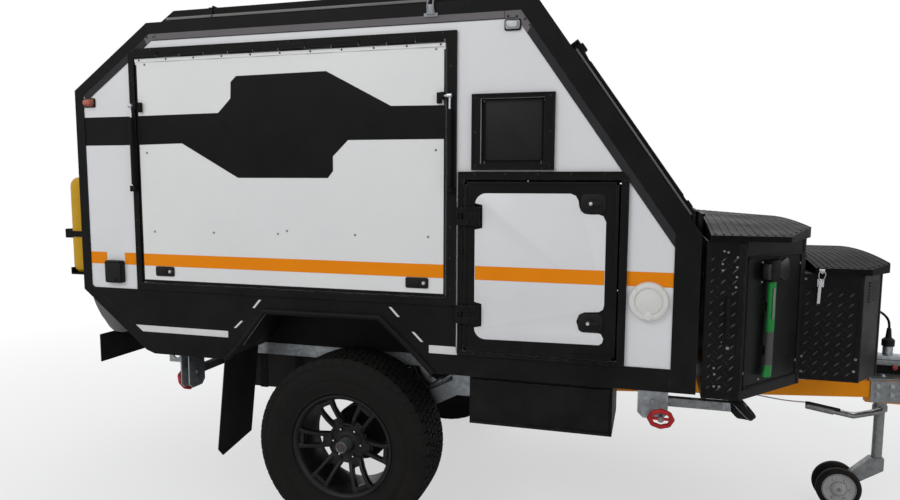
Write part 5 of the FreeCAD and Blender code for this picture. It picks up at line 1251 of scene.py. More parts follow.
def window_flap(form):
    """The hinged dark panel of the side port: a raised field, its hinge pins and its catch."""
    y = -0.936
    side_plate(form, 0.7490, 1.7595, 0.224, 0.237, 0.008, y, 0.005, 0, 0.985)
    for x in (0.634, 0.858):
        bar(form, at(x, y - 0.004, 1.622), at(x, y - 0.004, 1.640), 0.0026, 10, 1)
    for x, z in ((0.632, 1.871), (0.866, 1.871)):
        side_screw(form, x, y, z, 0.004, 0.002, 1)
    side_plate(form, 0.8775, 1.852, 0.013, 0.044, 0.004, y, 0.016, 2, 0.85)
    side_screw(form, 0.8765, y - 0.016, 1.864, 0.0034, 0.002, 1)


pair("door_panel_white_{}", door_panel, "door_{}", white_panel, bevel=0.0007)
pair("door_stripe_{}", door_stripe, "door_{}", stripe_orange)
pair(
    "door_latches_{}", door_latches, "door_{}", [plastic_black, steel_bright],
    bevel=0.0008)
pair("door_seam_{}", door_seam, "door_{}", sheet_black, bevel=0.0006)
pair("frame_lips_{}", frame_lips, "trailer", sheet_black, bevel=0.0006)
pair("frame_screws_{}", frame_screws, "trailer", screw_black)
pair(
    "window_flap_{}", window_flap, "trailer", [window_panel_black, screw_steel, plastic_black],
    bevel=0.0008)


# Inlets and lamps

def water_cap(form):
    centre = at(1.272, side_y, 1.118)
    lathe(form, [
        (0, 0.0245), (0.044, 0.0240), (0.047, 0.0225), (0.0485, 0.019), (0.051, 0.019), (0.054, 0.0245),
        (0.064, 0.0240), (0.070, 0.0205), (0.0735, 0.012), (0.0740, 0.0)], centre, outboard, 72)
    lathe(form, [
        (0, 0.0275), (0.013, 0.0270), (0.0165, 0.0245), (0.0175, 0.0180)], centre - upward * 0.054,
        outboard, 28)
    for angle in (45, 135, 225, 315):
        turn = math.radians(angle)
        screw(
            form, centre + Vector((0.0665 * math.cos(turn), -0.0215, 0.0665 * math.sin(turn))),
            outboard, 0.0035, 0.0035)


def power_box(form):
    y = -0.970
    side_plate(form, -1.122, 1.137, 0.086, 0.090, 0.010, y, 0.005, 0, 0.96)
    side_plate(form, -1.122, 1.100, 0.032, 0.011, 0.003, y - 0.005, 0.006, 0, 0.9)
    bar(form, at(-1.160, y - 0.002, 1.186), at(-1.084, y - 0.002, 1.186), 0.005, 12)


def lamp_base(form, x, z):
    side_plate(form, x, z, 0.064, 0.042, 0.008, side_y, 0.007)


def lamp_lens(form, x, z, paint):
    """A low dome on the base, with a bead round its foot."""
    side_plate(form, x, z, 0.056, 0.034, 0.009, side_y - 0.007, 0.003, paint)
    side_plate(form, x, z, 0.052, 0.030, 0.010, side_y - 0.010, 0.012, paint, 0.80)


def small_lamps(form):
    lamp_base(form, -1.229, 1.914)
    lamp_lens(form, -1.229, 1.914, 1)
    lamp_base(form, 0.743, 2.150)
    lamp_lens(form, 0.743, 2.150, 2)


def tail_lamps(form):
    """A framed row of three lenses, each a low dome of its own colour."""
    x = -1.236
    y0, y1, z0, z1 = -0.865, -0.655, 0.721, 0.811
    block(form, at(x - 0.010, y0, z0), at(x, y1, z1))
    third = (y1 - y0 - 0.016) / 3
    for index, paint in enumerate((1, 3, 2)):
        low = y0 + 0.008 + third * index + 0.002
        outline = [
            at(x - 0.010, low, z0 + 0.008), at(x - 0.010, low + third - 0.004, z0 + 0.008),
            at(x - 0.010, low + third - 0.004, z1 - 0.008), at(x - 0.010, low, z1 - 0.008)]
        slab(form, outline, (-0.012, 0, 0), paint, 0.86)


def all_lamps(form):
    small_lamps(form)
    tail_lamps(form)


single(
    "water_cap", water_cap, "trailer", plastic_white, bevel=0.0008,
    replaced="water_inlet")
single("power_box_lid", power_box, "trailer", plastic_black, bevel=0.0012)
pair("lamps_{}", all_lamps, "trailer", [plastic_black, lens_amber, lens_clear, lens_red],
     bevel=0.0010, replaced="lamps")


# Tread plate studs on the front boxes

def tread_studs(form, corner, along, up, width, height, out, margin=0.020, pitch=0.040):
    """Raised lozenges on two square lattices set half a pitch apart, one leaning each way; the lozenges
    leaning one way take material 0, a brighter copy that is a painted highlight, the others material 1
    without it.
    """
    for lean, shift in ((1, 0.0), (-1, 0.5)):
        long_way = (along + up * lean).normalized()
        wide_way = (up - along * lean).normalized()
        for column in range(int((width - margin * 2) / pitch - shift) + 1):
            for row in range(int((height - margin * 2) / pitch - shift) + 1):
                ahead = margin + (column + shift) * pitch
                rise = margin + (row + shift) * pitch
                middle = corner + along * ahead + up * rise
                lozenge(form, middle, long_way, wide_way, out, 0 if lean > 0 else 1)


def lozenge(form, middle, long_way, wide_way, out, paint, length=0.0135, width=0.0034, rise=0.0022):
    foot = [form.verts.new(middle + place) for place in (
        long_way * length, wide_way * width, long_way * -length, wide_way * -width)]
    ridge = [form.verts.new(middle + long_way * (length * share) + out * rise) for share in (0.55, -0.55)]
    for corners in (
            (foot[0], foot[1], ridge[1], ridge[0]), (foot[1], foot[2], ridge[1]),
            (foot[2], foot[3], ridge[0], ridge[1]), (foot[3], foot[0], ridge[0])):
        form.faces.new(corners).material_index = paint


tall = {
    "rear": 1.470, "side_end": 1.600, "front": 1.860, "half": 0.930, "front_half": 0.600, "low": 0.760,
    "rim": 1.349, "lid_front_half": 0.600}
small = {
    "rear": 1.862, "side_end": 2.080, "front": 2.190, "half": 0.570, "front_half": 0.400, "low": 0.770,
    "rim": 1.202, "lid_front_half": 0.436}


def tall_studs(form):
    height = tall["rim"] - tall["low"] - 0.05
    tread_studs(form, at(tall["rear"], -tall["half"], tall["low"] + 0.02), forward, upward,
                tall["side_end"] - tall["rear"], height, -leftward)


def small_studs(form):
    height = small["rim"] - small["low"] - 0.04
    tread_studs(form, at(small["rear"], -small["half"], small["low"] + 0.01), forward, upward,
                small["side_end"] - small["rear"], height, -leftward)


def front_studs(form):
    for box in (tall, small):
        low = 1.22 if box is tall else box["low"] + 0.01
        high = box["rim"] - 0.03
        tread_studs(form, at(box["front"], box["front_half"], low), -leftward, upward,
                    box["front_half"] * 2, high - low, forward)


def slant(box):
    """The slanted face of a front box: its start, its direction, its outward way and its length."""
    start = at(box["side_end"], -box["half"], 0)
    end = at(box["front"], -box["front_half"], 0)
    along = end - start
    length = along.length
    along.normalize()
    return start, along, Vector((along.y, -along.x, 0)), length


def on_slant(box, share, z, out=0.0):
    start, along, away, length = slant(box)
    return start + along * (length * share) + away * out + Vector((0, 0, z))


def tall_face_door(form):
    """The raised border of the plain plate on the slanted face."""
    start, along, away, length = slant(tall)
    z0, z1 = tall["low"] + 0.035, tall["rim"] - 0.055
    for x0, x1, low, high in (
            (0.05, 0.95, z0, z0 + 0.012), (0.05, 0.95, z1 - 0.012, z1), (0.05, 0.08, z0, z1),
            (0.92, 0.95, z0, z1)):
        corners = [
            on_slant(tall, x0, low), on_slant(tall, x1, low), on_slant(tall, x1, high),
            on_slant(tall, x0, high)]
        slab(form, corners, away * 0.004)


side_rivets = (
    (1.530, 1.312), (1.544, 1.308), (1.526, 1.265), (1.527, 1.242), (1.576, 1.291), (1.576, 1.255),
    (1.576, 1.219), (1.575, 1.182), (1.560, 1.157), (1.541, 1.142), (1.536, 0.977), (1.511, 0.877),
    (1.514, 0.854), (1.514, 0.808), (1.532, 0.809))
slant_rivet_shares = (
    (0.07, 1.246), (0.28, 1.267), (0.28, 1.194), (0.05, 0.861), (0.30, 0.823), (0.92, 1.250), (0.92, 0.860))
small_rivets = ((2.068, 0.864), (2.064, 0.815), (1.872, 0.803), (1.872, 0.865), (1.872, 1.180))


def box_rivets(form):
    for x, z in side_rivets:
        side_screw(form, x, -tall["half"], z, 0.0044, 0.0028)
    side_screw(form, 1.555, -tall["half"], 0.955, 0.0065, 0.0035)
    for share, z in slant_rivet_shares:
        screw(form, on_slant(tall, share, z), slant(tall)[2], 0.0050, 0.0032)
    for x, z in small_rivets:
        side_screw(form, x, -small["half"], z, 0.0058, 0.0032)


def grab_bar(form):
    """A flat upright handle on the tall box's side."""
    y = -tall["half"]
    x = 1.548
    bent_bar(form, smooth_path([
        at(x, y, 0.985), at(x, y - 0.024, 0.992), at(x, y - 0.030, 1.02), at(x, y - 0.030, 1.11),
        at(x, y - 0.024, 1.138), at(x, y, 1.145)], 5), 0.0075, 12)
    for z in (0.985, 1.145):
        block(form, at(x - 0.014, y, z - 0.020), at(x + 0.014, y - 0.003, z + 0.020))


def corner_angles(form):
    """Folded edges down the corners of both boxes."""
    for box, lip in ((tall, 0.018), (small, 0.014)):
        z0, z1 = box["low"], box["rim"] - 0.002
        for x, y, dx, dy in (
                (box["rear"], -box["half"], forward, None),
                (box["side_end"], -box["half"], -forward, slant(box)[1]),
                (box["front"], -box["front_half"], -slant(box)[1], leftward)):
            for way in (dx, dy):
                if way is None:
                    continue
                normal = Vector((way.y, -way.x, 0))
                if normal.dot(Vector((0.3, -1, 0)) if way is not leftward else forward) < 0:
                    normal = -normal
                corner = at(x, y, z0)
                slab(form, [
                    corner, corner + way * lip, corner + way * lip + upward * (z1 - z0),
                    corner + upward * (z1 - z0)], normal * 0.002)


def louvres(form):
    """Seven pressed slots near the top of the small box's slanted face."""
    away = slant(small)[2]
    for row in range(7):
        z = 1.088 + 0.0125 * row
        low = [on_slant(small, 0.30, z), on_slant(small, 0.86, z)]
        foot = [form.verts.new(place) for place in (*low, low[1] + upward * 0.008, low[0] + upward * 0.008)]
        lifted = [form.verts.new(place + away * 0.005) for place in low]
        form.faces.new((foot[0], foot[1], lifted[1], lifted[0]))
        form.faces.new((lifted[0], lifted[1], foot[2], foot[3]))
        form.faces.new((foot[0], lifted[0], foot[3]))
        form.faces.new((foot[1], foot[2], lifted[1]))


latch_x = 1.926
small_lid_y = -0.584


def small_box_latch(form):
    """An over-centre latch: a heart-shaped loop, a body on the box and a long pale lever."""
    face = -small["half"]
    loop = ((0.003, 1.172), (0.011, 1.192), (0.0115, 1.206), (0.005, 1.213), (0.0, 1.206), (-0.005, 1.213),
            (-0.0115, 1.206), (-0.011, 1.192), (-0.003, 1.172))
    path = [at(latch_x + dx, small_lid_y - 0.008 + (1.206 - z) * 0.20, z) for dx, z in loop]
    bent_bar(form, smooth_path(path, 5), 0.0022, 8)
    block(form, at(latch_x - 0.012, face, 1.150), at(latch_x + 0.012, face - 0.005, 1.182))
    block(form, at(latch_x - 0.008, face - 0.005, 1.154), at(latch_x + 0.008, face - 0.014, 1.178))
    slab(form, [at(latch_x - 0.004 + dx, face - 0.010, z) for dx, z in (
        (-0.0055, 1.154), (0.0055, 1.154), (0.0035, 1.084), (-0.0075, 1.084))], (0, -0.004, 0), 1)


def small_lid_keeper(form):
    """The hook on the lid that the latch's loop takes."""
    block(form, at(latch_x - 0.010, small_lid_y, 1.209), at(latch_x + 0.010, small_lid_y - 0.004, 1.223))
    block(
        form, at(latch_x - 0.003, small_lid_y - 0.004, 1.213),
        at(latch_x + 0.003, small_lid_y - 0.011, 1.219))


pair("tall_box_studs_{}", tall_studs, "trailer", [stud_painted_highlight, stud_without_glint])
pair("small_box_studs_{}", small_studs, "trailer", [stud_painted_highlight, stud_without_glint])
single("box_front_studs", front_studs, "trailer", [stud_painted_highlight, stud_without_glint])
pair("tall_face_border_{}", tall_face_door, "trailer", sheet_black, bevel=0.0012)
pair("box_rivets_{}", box_rivets, "trailer", screw_steel)
pair("grab_bar_{}", grab_bar, "trailer", sheet_black, bevel=0.0006)
pair("box_corner_angles_{}", corner_angles, "trailer", sheet_black, bevel=0.0005)
pair("box_louvres_{}", louvres, "trailer", sheet_black)
pair("small_box_latch_{}", small_box_latch, "trailer", [steel_bright, label_white], bevel=0.0005)
pair("small_lid_keeper_{}", small_lid_keeper, "small_box_lid", steel_bright, bevel=0.0004)


# Lids of the front boxes: ribs across them

def lid_ribs(form, box, rear, side_end, lip_z, crown_rear, crown_front, count):
    """Raised ribs that run across the lid and follow its bow and its slanted corners."""
    full = box["half"] + 0.019
    for index in range(count):
        x = rear + 0.016 + (box["front"] - 0.006 - rear) * index / (count - 1)
        share = max(0.0, (x - side_end) / (box["front"] + 0.014 - side_end))
        reach = box["half"] - 0.004 - (box["half"] - box["lid_front_half"]) * share
        lift = crown_rear + (crown_front - crown_rear) * (x - rear) / (box["front"] - rear)
        radius = (full ** 2 + lift ** 2) / (2 * lift)
        steps = 14
        rings = []
        for step in range(steps + 1):
            y = -reach + reach * 2 * step / steps
            z = lip_z + lift - radius + math.sqrt(radius ** 2 - y ** 2)
            ring = [form.verts.new(at(x + dx, y, z + dz)) for dx, dz in (
                (-0.0060, -0.002), (-0.0035, 0.0022), (0.0035, 0.0022), (0.0060, -0.002))]
            rings.append(ring)
        closed_tube(form, rings)


tall_ribs = bmesh.new()
lid_ribs(tall_ribs, tall, 1.482, 1.742, 1.3693, 0.061, 0.031, 14)
piece("tall_lid_ribs", tall_ribs, "tall_box_lid", lid_black)
small_ribs = bmesh.new()
lid_ribs(small_ribs, small, 1.904, 2.097, 1.2263, 0.030, 0.030, 12)
piece("small_lid_ribs", small_ribs, "small_box_lid", lid_black)


# Axe: forged head, and a handle with its grip and a bare label

axe_share = 0.37
axe_stand_off = 0.020
axe_colour_z = (1.205, 1.022, 0.880)


def whole_axe(form):
    away, along = slant(tall)[2], slant(tall)[1]

    def spot(z, a=0.0, out=axe_stand_off):
        return on_slant(tall, axe_share, z, out) + along * a

    path = smooth_path([
        spot(1.262), spot(1.18), spot(1.06, 0.001), spot(0.96, -0.001), spot(0.90, -0.001),
        spot(0.862, -0.004), spot(0.835, -0.009)], 6)
    sections = []
    for place in path:
        z = place.z
        broad = 0.0180 if z > 1.02 else 0.0160
        if z < 0.90:
            broad = 0.0160 + (0.90 - z) * 0.11
        paint = 2 if axe_colour_z[2] < z < axe_colour_z[1] else 1
        ring = []
        for side in range(14):
            angle = math.tau * side / 14
            edge = place + along * (broad * math.cos(angle))
            ring.append(form.verts.new(edge + away * (0.0135 * math.sin(angle))))
        sections.append((ring, paint if z < axe_colour_z[0] else 0))
    for (before, paint), (after, _) in zip(sections, sections[1:]):
        face_ring(form, [before, after], True, paint)
    cap(form, sections[0][0][::-1], 0)
    cap(form, sections[-1][0], 1)
    head_outline = [
        (-0.046, 1.206), (-0.049, 1.235), (-0.045, 1.262), (0.000, 1.262), (0.040, 1.266), (0.085, 1.281),
        (0.106, 1.272), (0.114, 1.238), (0.108, 1.200), (0.084, 1.190), (0.044, 1.208), (0.0, 1.206)]
    low, high = [], []
    for a, z in head_outline:
        thick = 0.0118 * max(0.12, 1 - max(0.0, a) / 0.125)
        low.append(form.verts.new(spot(z, a, axe_stand_off - thick)))
        high.append(form.verts.new(spot(z, a, axe_stand_off + thick)))
    closed_tube(form, [low, high])
    label_out = axe_stand_off + 0.0126
    label = [
        spot(1.055, -0.014, label_out), spot(1.055, 0.000, label_out), spot(1.172, 0.001, label_out),
        spot(1.172, -0.013, label_out)]
    slab(form, label, away * 0.0014, 3)


def axe_holders(form):
    """The sheath's strap over the head."""
    away, along = slant(tall)[2], slant(tall)[1]
    middle = on_slant(tall, axe_share, 1.235, 0.0)
    for low, high, near, far in (
            (-0.024, 0.024, 0.0325, 0.0350), (-0.0265, -0.024, 0.0, 0.0350),
            (0.024, 0.0265, 0.0, 0.0350)):
        corners = [middle + along * a + upward * rise + away * near for a, rise in (
            (low, -0.040), (high, -0.040), (high, 0.040), (low, 0.040))]
        slab(form, corners, away * (far - near))


single(
    "axe_whole", whole_axe, "trailer", [axe_steel, plastic_green, plastic_grey, strip_pale],
    bevel=0.0006, angle=40, replaced="axe")
single("axe_holders", axe_holders, "trailer", sheet_black, bevel=0.0005)


# Fuel can: yellow moulding with a raised cross, three grips and a cap

def whole_can(form):
    back = -1.314
    y0, y1, z0, z1 = -0.850, -0.510, 1.106, 1.576
    x0, x1 = back - 0.160, back
    rings = []
    middle_y, middle_z = (y0 + y1) / 2, (z0 + z1) / 2
    outline = rounded_rectangle(middle_y, middle_z, y1 - y0, z1 - z0, 0.040, 5)
    for x, shrink in (
            (x0, 0.018), (x0 + 0.006, 0.006), (x0 + 0.020, 0.0), ((x0 + x1) / 2 - 0.004, 0.0),
            ((x0 + x1) / 2, 0.004), ((x0 + x1) / 2 + 0.004, 0.0), (x1 - 0.020, 0.0),
            (x1 - 0.006, 0.006), (x1, 0.018)):
        ring = []
        for y, z in outline:
            sy = 1 - shrink * 2 / (y1 - y0)
            sz = 1 - shrink * 2 / (z1 - z0)
            near_y = middle_y + (y - middle_y) * sy
            near_z = middle_z + (z - middle_z) * sz
            ring.append(form.verts.new(at(x, near_y, near_z)))
        rings.append(ring)
    closed_tube(form, rings)
    cross_z = middle_z - 0.02
    for turn in (-1, 1):
        way = Vector((0, turn * 0.105, 0.155))
        side = Vector((0, -way.z, way.y)).normalized() * 0.011
        centre = at(x0 + 0.001, middle_y, cross_z)
        slab(form, [
            centre - way - side, centre - way + side, centre + way + side, centre + way - side],
            (-0.007, 0, 0), 0, 0.96)
    for share in (0.22, 0.5, 0.78):
        x = back - 0.160 * share
        bent_bar(
            form,
            smooth_path([
                at(x, -0.735, z1 - 0.010), at(x, -0.733, z1 + 0.014), at(x, -0.715, z1 + 0.024),
                at(x, -0.590, z1 + 0.024), at(x, -0.572, z1 + 0.014), at(x, -0.570, z1 - 0.010)], 4),
            0.0062, 10)
    centre = at(back - 0.080, -0.798, z1 - 0.006)
    lathe(form, [(0, 0.028), (0.022, 0.028), (0.026, 0.024), (0.027, 0.0)], centre, (0, 0, 1), 24, 1)


single("fuel_can", whole_can, "trailer", [plastic_yellow, plastic_black],
       bevel=0.0015, angle=50, replaced="jerrycan")


# Rear bag: a soft roll that sags between its straps

bag_profile_shares = (
    (0, 0), (0.02, 0.28), (0.3, 0.74), (0.56, 0.97), (0.78, 1.0), (0.93, 0.82), (0.985, 0.48), (1, 0))
bag_strap_y = (-0.62, -0.21, 0.21, 0.62)
bag_half = 0.926
bag_depth = 0.095


def bag_frame():
    """The bag's start on the rear slope, its way down the slope, its way out and its run."""
    rear, foot = at(-1.308, 0, 1.049), at(-0.969, 0, 0.777)
    along = (foot - rear).normalized()
    out = Vector((along.z, 0, -along.x))
    return rear + along * 0.023 + out * 0.0006, along, out, (foot - rear).length * 0.565


def bag_place(y, a, b):
    start, along, out, run = bag_frame()
    place = start + along * (run * a) + out * (bag_depth * b)
    return Vector((place.x, y, place.z))


def soft_bag():
    """A rolled canvas that sags towards its foot, is drawn in by its straps and creases between them."""
    form = bmesh.new()
    stations = 120
    curve = smooth_path([Vector((a, b, 0)) for a, b in bag_profile_shares], 5)
    rings = []
    for station in range(stations + 1):
        y = -bag_half + bag_half * 2 * station / stations
        near_end = min(1.0, (bag_half - abs(y)) / 0.05)
        fullness = 0.72 + 0.28 * math.sqrt(max(0.0, 1 - (1 - near_end) ** 2))
        drawn = 1 - 0.15 * sum(math.exp(-((y - place) / 0.024) ** 2) for place in bag_strap_y)
        slack = 1 + 0.025 * math.sin(y * 15.3)
        ring = []
        for point in curve:
            a = 0.5 + (point.x - 0.5) * (0.5 + 0.5 * fullness)
            broad_crease = noise.noise(Vector((y * 9.0, a * 4.0, 0))) * 0.10
            fine_crease = noise.noise(Vector((y * 24.0, a * 7.0, 5.0))) * 0.05
            crease = broad_crease + fine_crease
            b = max(0.0, point.y) * fullness * drawn * slack * (0.97 + crease)
            ring.append(form.verts.new(bag_place(y, a, min(b, 1.06))))
        for a in (0.75, 0.5, 0.25):
            ring.append(form.verts.new(bag_place(y, a, 0)))
        rings.append(ring)
    closed_tube(form, rings)
    made = piece("bag_canvas", form, "trailer", canvas, angle=80)
    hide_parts("rear_bag")


def bag_straps(form):
    """Webbing round the bag, with a buckle each."""
    curve = smooth_path([Vector((a, b, 0)) for a, b in bag_profile_shares], 5)
    for y in bag_strap_y:
        rings = []
        for point in curve:
            ring = []
            for side, lift in ((-0.0125, 0.0), (0.0125, 0.0), (0.0125, 0.02), (-0.0125, 0.02)):
                ring.append(form.verts.new(bag_place(y + side, point.x, max(0.0, point.y) * 0.86 + lift)))
            rings.append(ring)
        face_ring(form, rings, True, 0)
        slab(form, [bag_place(y + side, a, 0.885) for side, a in (
            (-0.019, 0.60), (0.019, 0.60), (0.019, 0.72), (-0.019, 0.72))], bag_frame()[2] * 0.007, 0, 0.9)


soft_bag()
single("bag_straps", bag_straps, "trailer", plastic_black)


# Underbody fittings: handwheels, feet, coil springs, tank straps and brake cable

front_stabiliser = (at(1.300, -0.800, 0.700), Vector((1, 0, 0)), Vector((0, -1, 0)))
rear_stabiliser = (at(-0.805, -0.842, 0.660), Vector((0, 1, 0)), Vector((-1, 0, 0)))
wheel_tilt = math.radians(28)


def red_handwheel(form, stabiliser):
    """A thick ring with soft corners and a bar across, on the steel screw of a stabiliser."""
    place, along, outward = stabiliser
    face = place + along * 0.032 - upward * 0.034 + outward * 0.0228
    out = outward * math.cos(wheel_tilt) - upward * math.sin(wheel_tilt)
    rise = upward * math.cos(wheel_tilt) + outward * math.sin(wheel_tilt)
    centre = face + out * 0.0465
    rings = []
    corners = 32
    for index in range(corners):
        angle = math.tau * (index + 0.5) / corners
        way = along * math.cos(angle) + rise * math.sin(angle)
        reach = 0.0415 + 0.0016 * math.cos(angle * 8)
        ring = []
        for side in range(8):
            turn = math.tau * side / 8
            edge = centre + way * (reach + 0.0095 * math.cos(turn))
            ring.append(form.verts.new(edge + out * (0.0090 * math.sin(turn))))
        rings.append(ring)
    rings.append(rings[0])
    face_ring(form, rings, True, 0)
    bar(form, centre - along * 0.040, centre + along * 0.040, 0.0060, 12)
    bar(form, face, centre + out * 0.008, 0.0082, 14, 1)
    lathe(form, [(0, 0.0115), (0.0105, 0.0115), (0.0125, 0.009), (0.0125, 0.0)], centre, out, 6, 1)


def handwheels(form):
    red_handwheel(form, front_stabiliser)
    red_handwheel(form, rear_stabiliser)


def stabiliser_foot(form, stabiliser):
    """The black foot with its raised edge and bolt, and the bright sleeve behind it."""
    place, along, outward = stabiliser
    tilt = (along + upward).normalized()
    middle = place + along * 0.330
    lathe(form, [
        (0, 0.0130), (0.048, 0.0130), (0.053, 0.0155), (0.0585, 0.0150), (0.0602, 0.0115),
        (0.0602, -0.0060), (0.0520, -0.0140), (0.0360, -0.0280), (0.0240, -0.0400), (0, -0.0420)],
        middle, tilt, 56)
    lathe(form, [(0, 0.0190), (0.0090, 0.0190), (0.0108, 0.0165), (0.0108, 0.0130)], middle, tilt, 6, 1)
    half = 0.0174
    corners = [place + along * 0.258 + outward * (a * half) + upward * (b * half) for a, b in (
        (-1, -1), (1, -1), (1, 1), (-1, 1))]
    slab(form, corners, along * 0.0425, 2)


def front_foot(form):
    stabiliser_foot(form, front_stabiliser)


def rear_foot(form):
    stabiliser_foot(form, rear_stabiliser)


def coil_spring(form):
    """Turns of round wire wound close outside the spring's core."""
    turns, steps = 6, 20
    low, high = 0.562, 0.708
    path = []
    for index in range(turns * steps + 1):
        share = index / (turns * steps)
        angle = math.tau * turns * share
        x = 0.150 + 0.058 * math.cos(angle)
        y = -0.600 + 0.058 * math.sin(angle)
        path.append(at(x, y, low + (high - low) * share))
    bent_bar(form, path, 0.0075, 8)


def tank_straps(form):
    for x in (-0.66, -0.455, -0.25):
        for low, high in (
                ((x - 0.02, -0.4525, 0.486), (x + 0.02, 0.4525, 0.489)),
                ((x - 0.02, -0.4535, 0.486), (x + 0.02, -0.4505, 0.712)),
                ((x - 0.02, 0.4505, 0.486), (x + 0.02, 0.4535, 0.712))):
            block(form, at(*low), at(*high))


def brake_cable(form):
    """The thin parking-brake cable that sags under the drawbar and runs through the lever's grip."""
    bent_bar(form, smooth_path([
        at(1.05, -0.050, 0.640), at(1.40, -0.050, 0.596), at(1.70, -0.048, 0.556), at(1.894, -0.046, 0.530),
        at(2.010, -0.046, 0.5265)], 6), 0.003, 8)
    bent_bar(form, smooth_path([
        at(2.140, -0.046, 0.505), at(2.215, -0.046, 0.496), at(2.320, -0.046, 0.527)], 6), 0.003, 8)


def brake_grip(form):
    """The black sleeve along the top of the brake lever's grip."""
    bent_bar(form, [
        at(2.004, -0.046, 0.5225), at(2.020, -0.046, 0.5220), at(2.125, -0.046, 0.5045),
        at(2.152, -0.046, 0.5000)], 0.0095, 14)


pair("handwheels_{}", handwheels, "trailer", [red_coat, screw_steel], bevel=0.0008,
     replaced="stabiliser_handles")
foot_paints = [rubber_black, zinc_dull, galvanised]
pair(
    "front_stabiliser_foot_{}", front_foot, "front_stabiliser_{}", foot_paints,
    bevel=0.0006)
pair("rear_stabiliser_foot_{}", rear_foot, "rear_stabiliser_{}", foot_paints, bevel=0.0006)
pair("coil_spring_{}", coil_spring, "trailer", sheet_black)
single("tank_straps", tank_straps, "trailer", sheet_black)
single("brake_cable", brake_cable, "trailer", steel_bright)
single("brake_grip", brake_grip, "trailer", plastic_black, bevel=0.001)


# Jockey wheels, drawbar bolts and coupling

jockey_low, jockey_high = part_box("jockey_wheels")


def jockey_tyres(form):
    """Twin wheels: thin black tyres on pale pressed discs with bolts and a hub."""
    centre_x = (jockey_low.x + jockey_high.x) / 2
    centre_z = (jockey_low.z + jockey_high.z) / 2
    middle_y = (jockey_low.y + jockey_high.y) / 2
    radius = (jockey_high.z - jockey_low.z) / 2
    for turn in (-1, 1):
        near = Vector((centre_x, middle_y + turn * 0.023, centre_z))
        axis = (0, turn, 0)
        lathe(form, [
            (0.076, 0.000), (0.086, 0.000), (0.095, 0.004), (radius, 0.012), (radius, 0.030),
            (0.095, 0.038), (0.086, 0.042), (0.080, 0.0415), (0.077, 0.036), (0.076, 0.0)], near, axis,
            56, 0)
        lathe(form, [
            (0.0, 0.004), (0.076, 0.004), (0.077, 0.036), (0.072, 0.0375), (0.066, 0.0330), (0.036, 0.0300),
            (0.029, 0.0385), (0.020, 0.0415), (0.0, 0.0415)], near, axis, 56, 1)
        for index in range(6):
            angle = math.tau * index / 6
            place = near + Vector((0.051 * math.cos(angle), turn * 0.0312, 0.051 * math.sin(angle)))
            lathe(form, [(0, 0.0040), (0.006, 0.0040), (0.008, 0.0)], place, axis, 14, 2)


single(
    "jockey_tyres", jockey_tyres, "jockey_wheels", [rubber_black, wheel_grey, steel_bright],
    bevel=0.001, replaced="jockey_wheels")


def drawbar_bolts(form):
    for x, y in ((2.31, -0.075), (2.40, -0.07), (2.29, 0.105), (2.40, 0.075)):
        bolt(form, at(x, y, 0.688), (0, 0, 1), 0.010, 0.008)
    for x in (2.27, 2.33, 2.385):
        side = 0.100 + (0.421 - 0.100) * (2.400 - x) / 1.5
        for z in (0.615, 0.655):
            bolt(form, at(x, -side - 0.0285, z), (-0.21, -0.98, 0), 0.009, 0.007)
            bolt(form, at(x, side + 0.0285, z), (-0.21, 0.98, 0), 0.009, 0.007)


def coupling_fittings(form):
    """The bright top plate and grey side bands, bolts, the red lock button and the socket's collar."""
    block(form, at(2.2520, -0.0405, 0.7560), at(2.3980, 0.0260, 0.7738), 2)
    block(form, at(2.2520, 0.0260, 0.7560), at(2.3180, 0.0405, 0.7738), 2)
    for turn, band_end in ((-1, 2.3980), (1, 2.3180)):
        block(form, at(2.2520, 0.0388 * turn, 0.7300), at(band_end, 0.0404 * turn, 0.7540))
        bolt(form, at(2.420, 0.039 * turn, 0.715), (0, turn, 0), 0.010, 0.008)
    lathe(form, [
        (0, 0.010), (0.009, 0.010), (0.011, 0.008), (0.011, 0)], at(2.367, -0.039, 0.722), outboard, 20,
        1)
    lathe(form, [
        (0.0192, 0.0425), (0.0205, 0.0425), (0.0215, 0.040), (0.0215, 0.0)], at(2.345, 0, 0.7720),
        (0, 0, 1), 32, 2)


single("drawbar_bolts", drawbar_bolts, "trailer", galvanised, bevel=0.0005)
single(
    "coupling_fittings", coupling_fittings, "trailer", [zinc_dull, red_coat, galvanised],
    bevel=0.0005)


# Roof: edge strips, side catches and the front cover's trim

roof_edge_y = -0.880
catch_x = 0.418


def fairing_strip(form):
    block(form, at(-0.852, roof_edge_y, 2.275), at(-0.617, roof_edge_y - 0.0055, 2.286))


def roof_trim(form):
    """The pale strip along the raised roof and the hook that its catch takes."""
    block(form, at(-0.611, roof_edge_y, 2.275), at(catch_x - 0.030, roof_edge_y - 0.0055, 2.286))
    block(form, at(catch_x - 0.014, roof_edge_y, 2.286), at(catch_x + 0.014, roof_edge_y - 0.009, 2.304), 1)


def roof_catches(form):
    """A spring catch on the rail: a foot plate, a body and two wires over the rail's edge."""
    block(form, at(catch_x - 0.028, rail_y, 2.198), at(catch_x + 0.028, rail_y - 0.004, 2.212))
    slab(form, [at(catch_x + dx, rail_y, z) for dx, z in (
        (-0.018, 2.205), (0.018, 2.205), (0.012, 2.246), (-0.012, 2.246))], (0, -0.011, 0), 0, 0.9)
    for turn in (-1, 1):
        bent_bar(
            form,
            smooth_path([
                at(catch_x + 0.011 * turn, rail_y - 0.010, 2.216),
                at(catch_x + 0.012 * turn, rail_y - 0.012, 2.240),
                at(catch_x + 0.010 * turn, rail_y, 2.264), at(catch_x + 0.008 * turn, -0.910, 2.286),
                at(catch_x + 0.005 * turn, roof_edge_y - 0.011, 2.298)], 5),
            0.0028, 8)


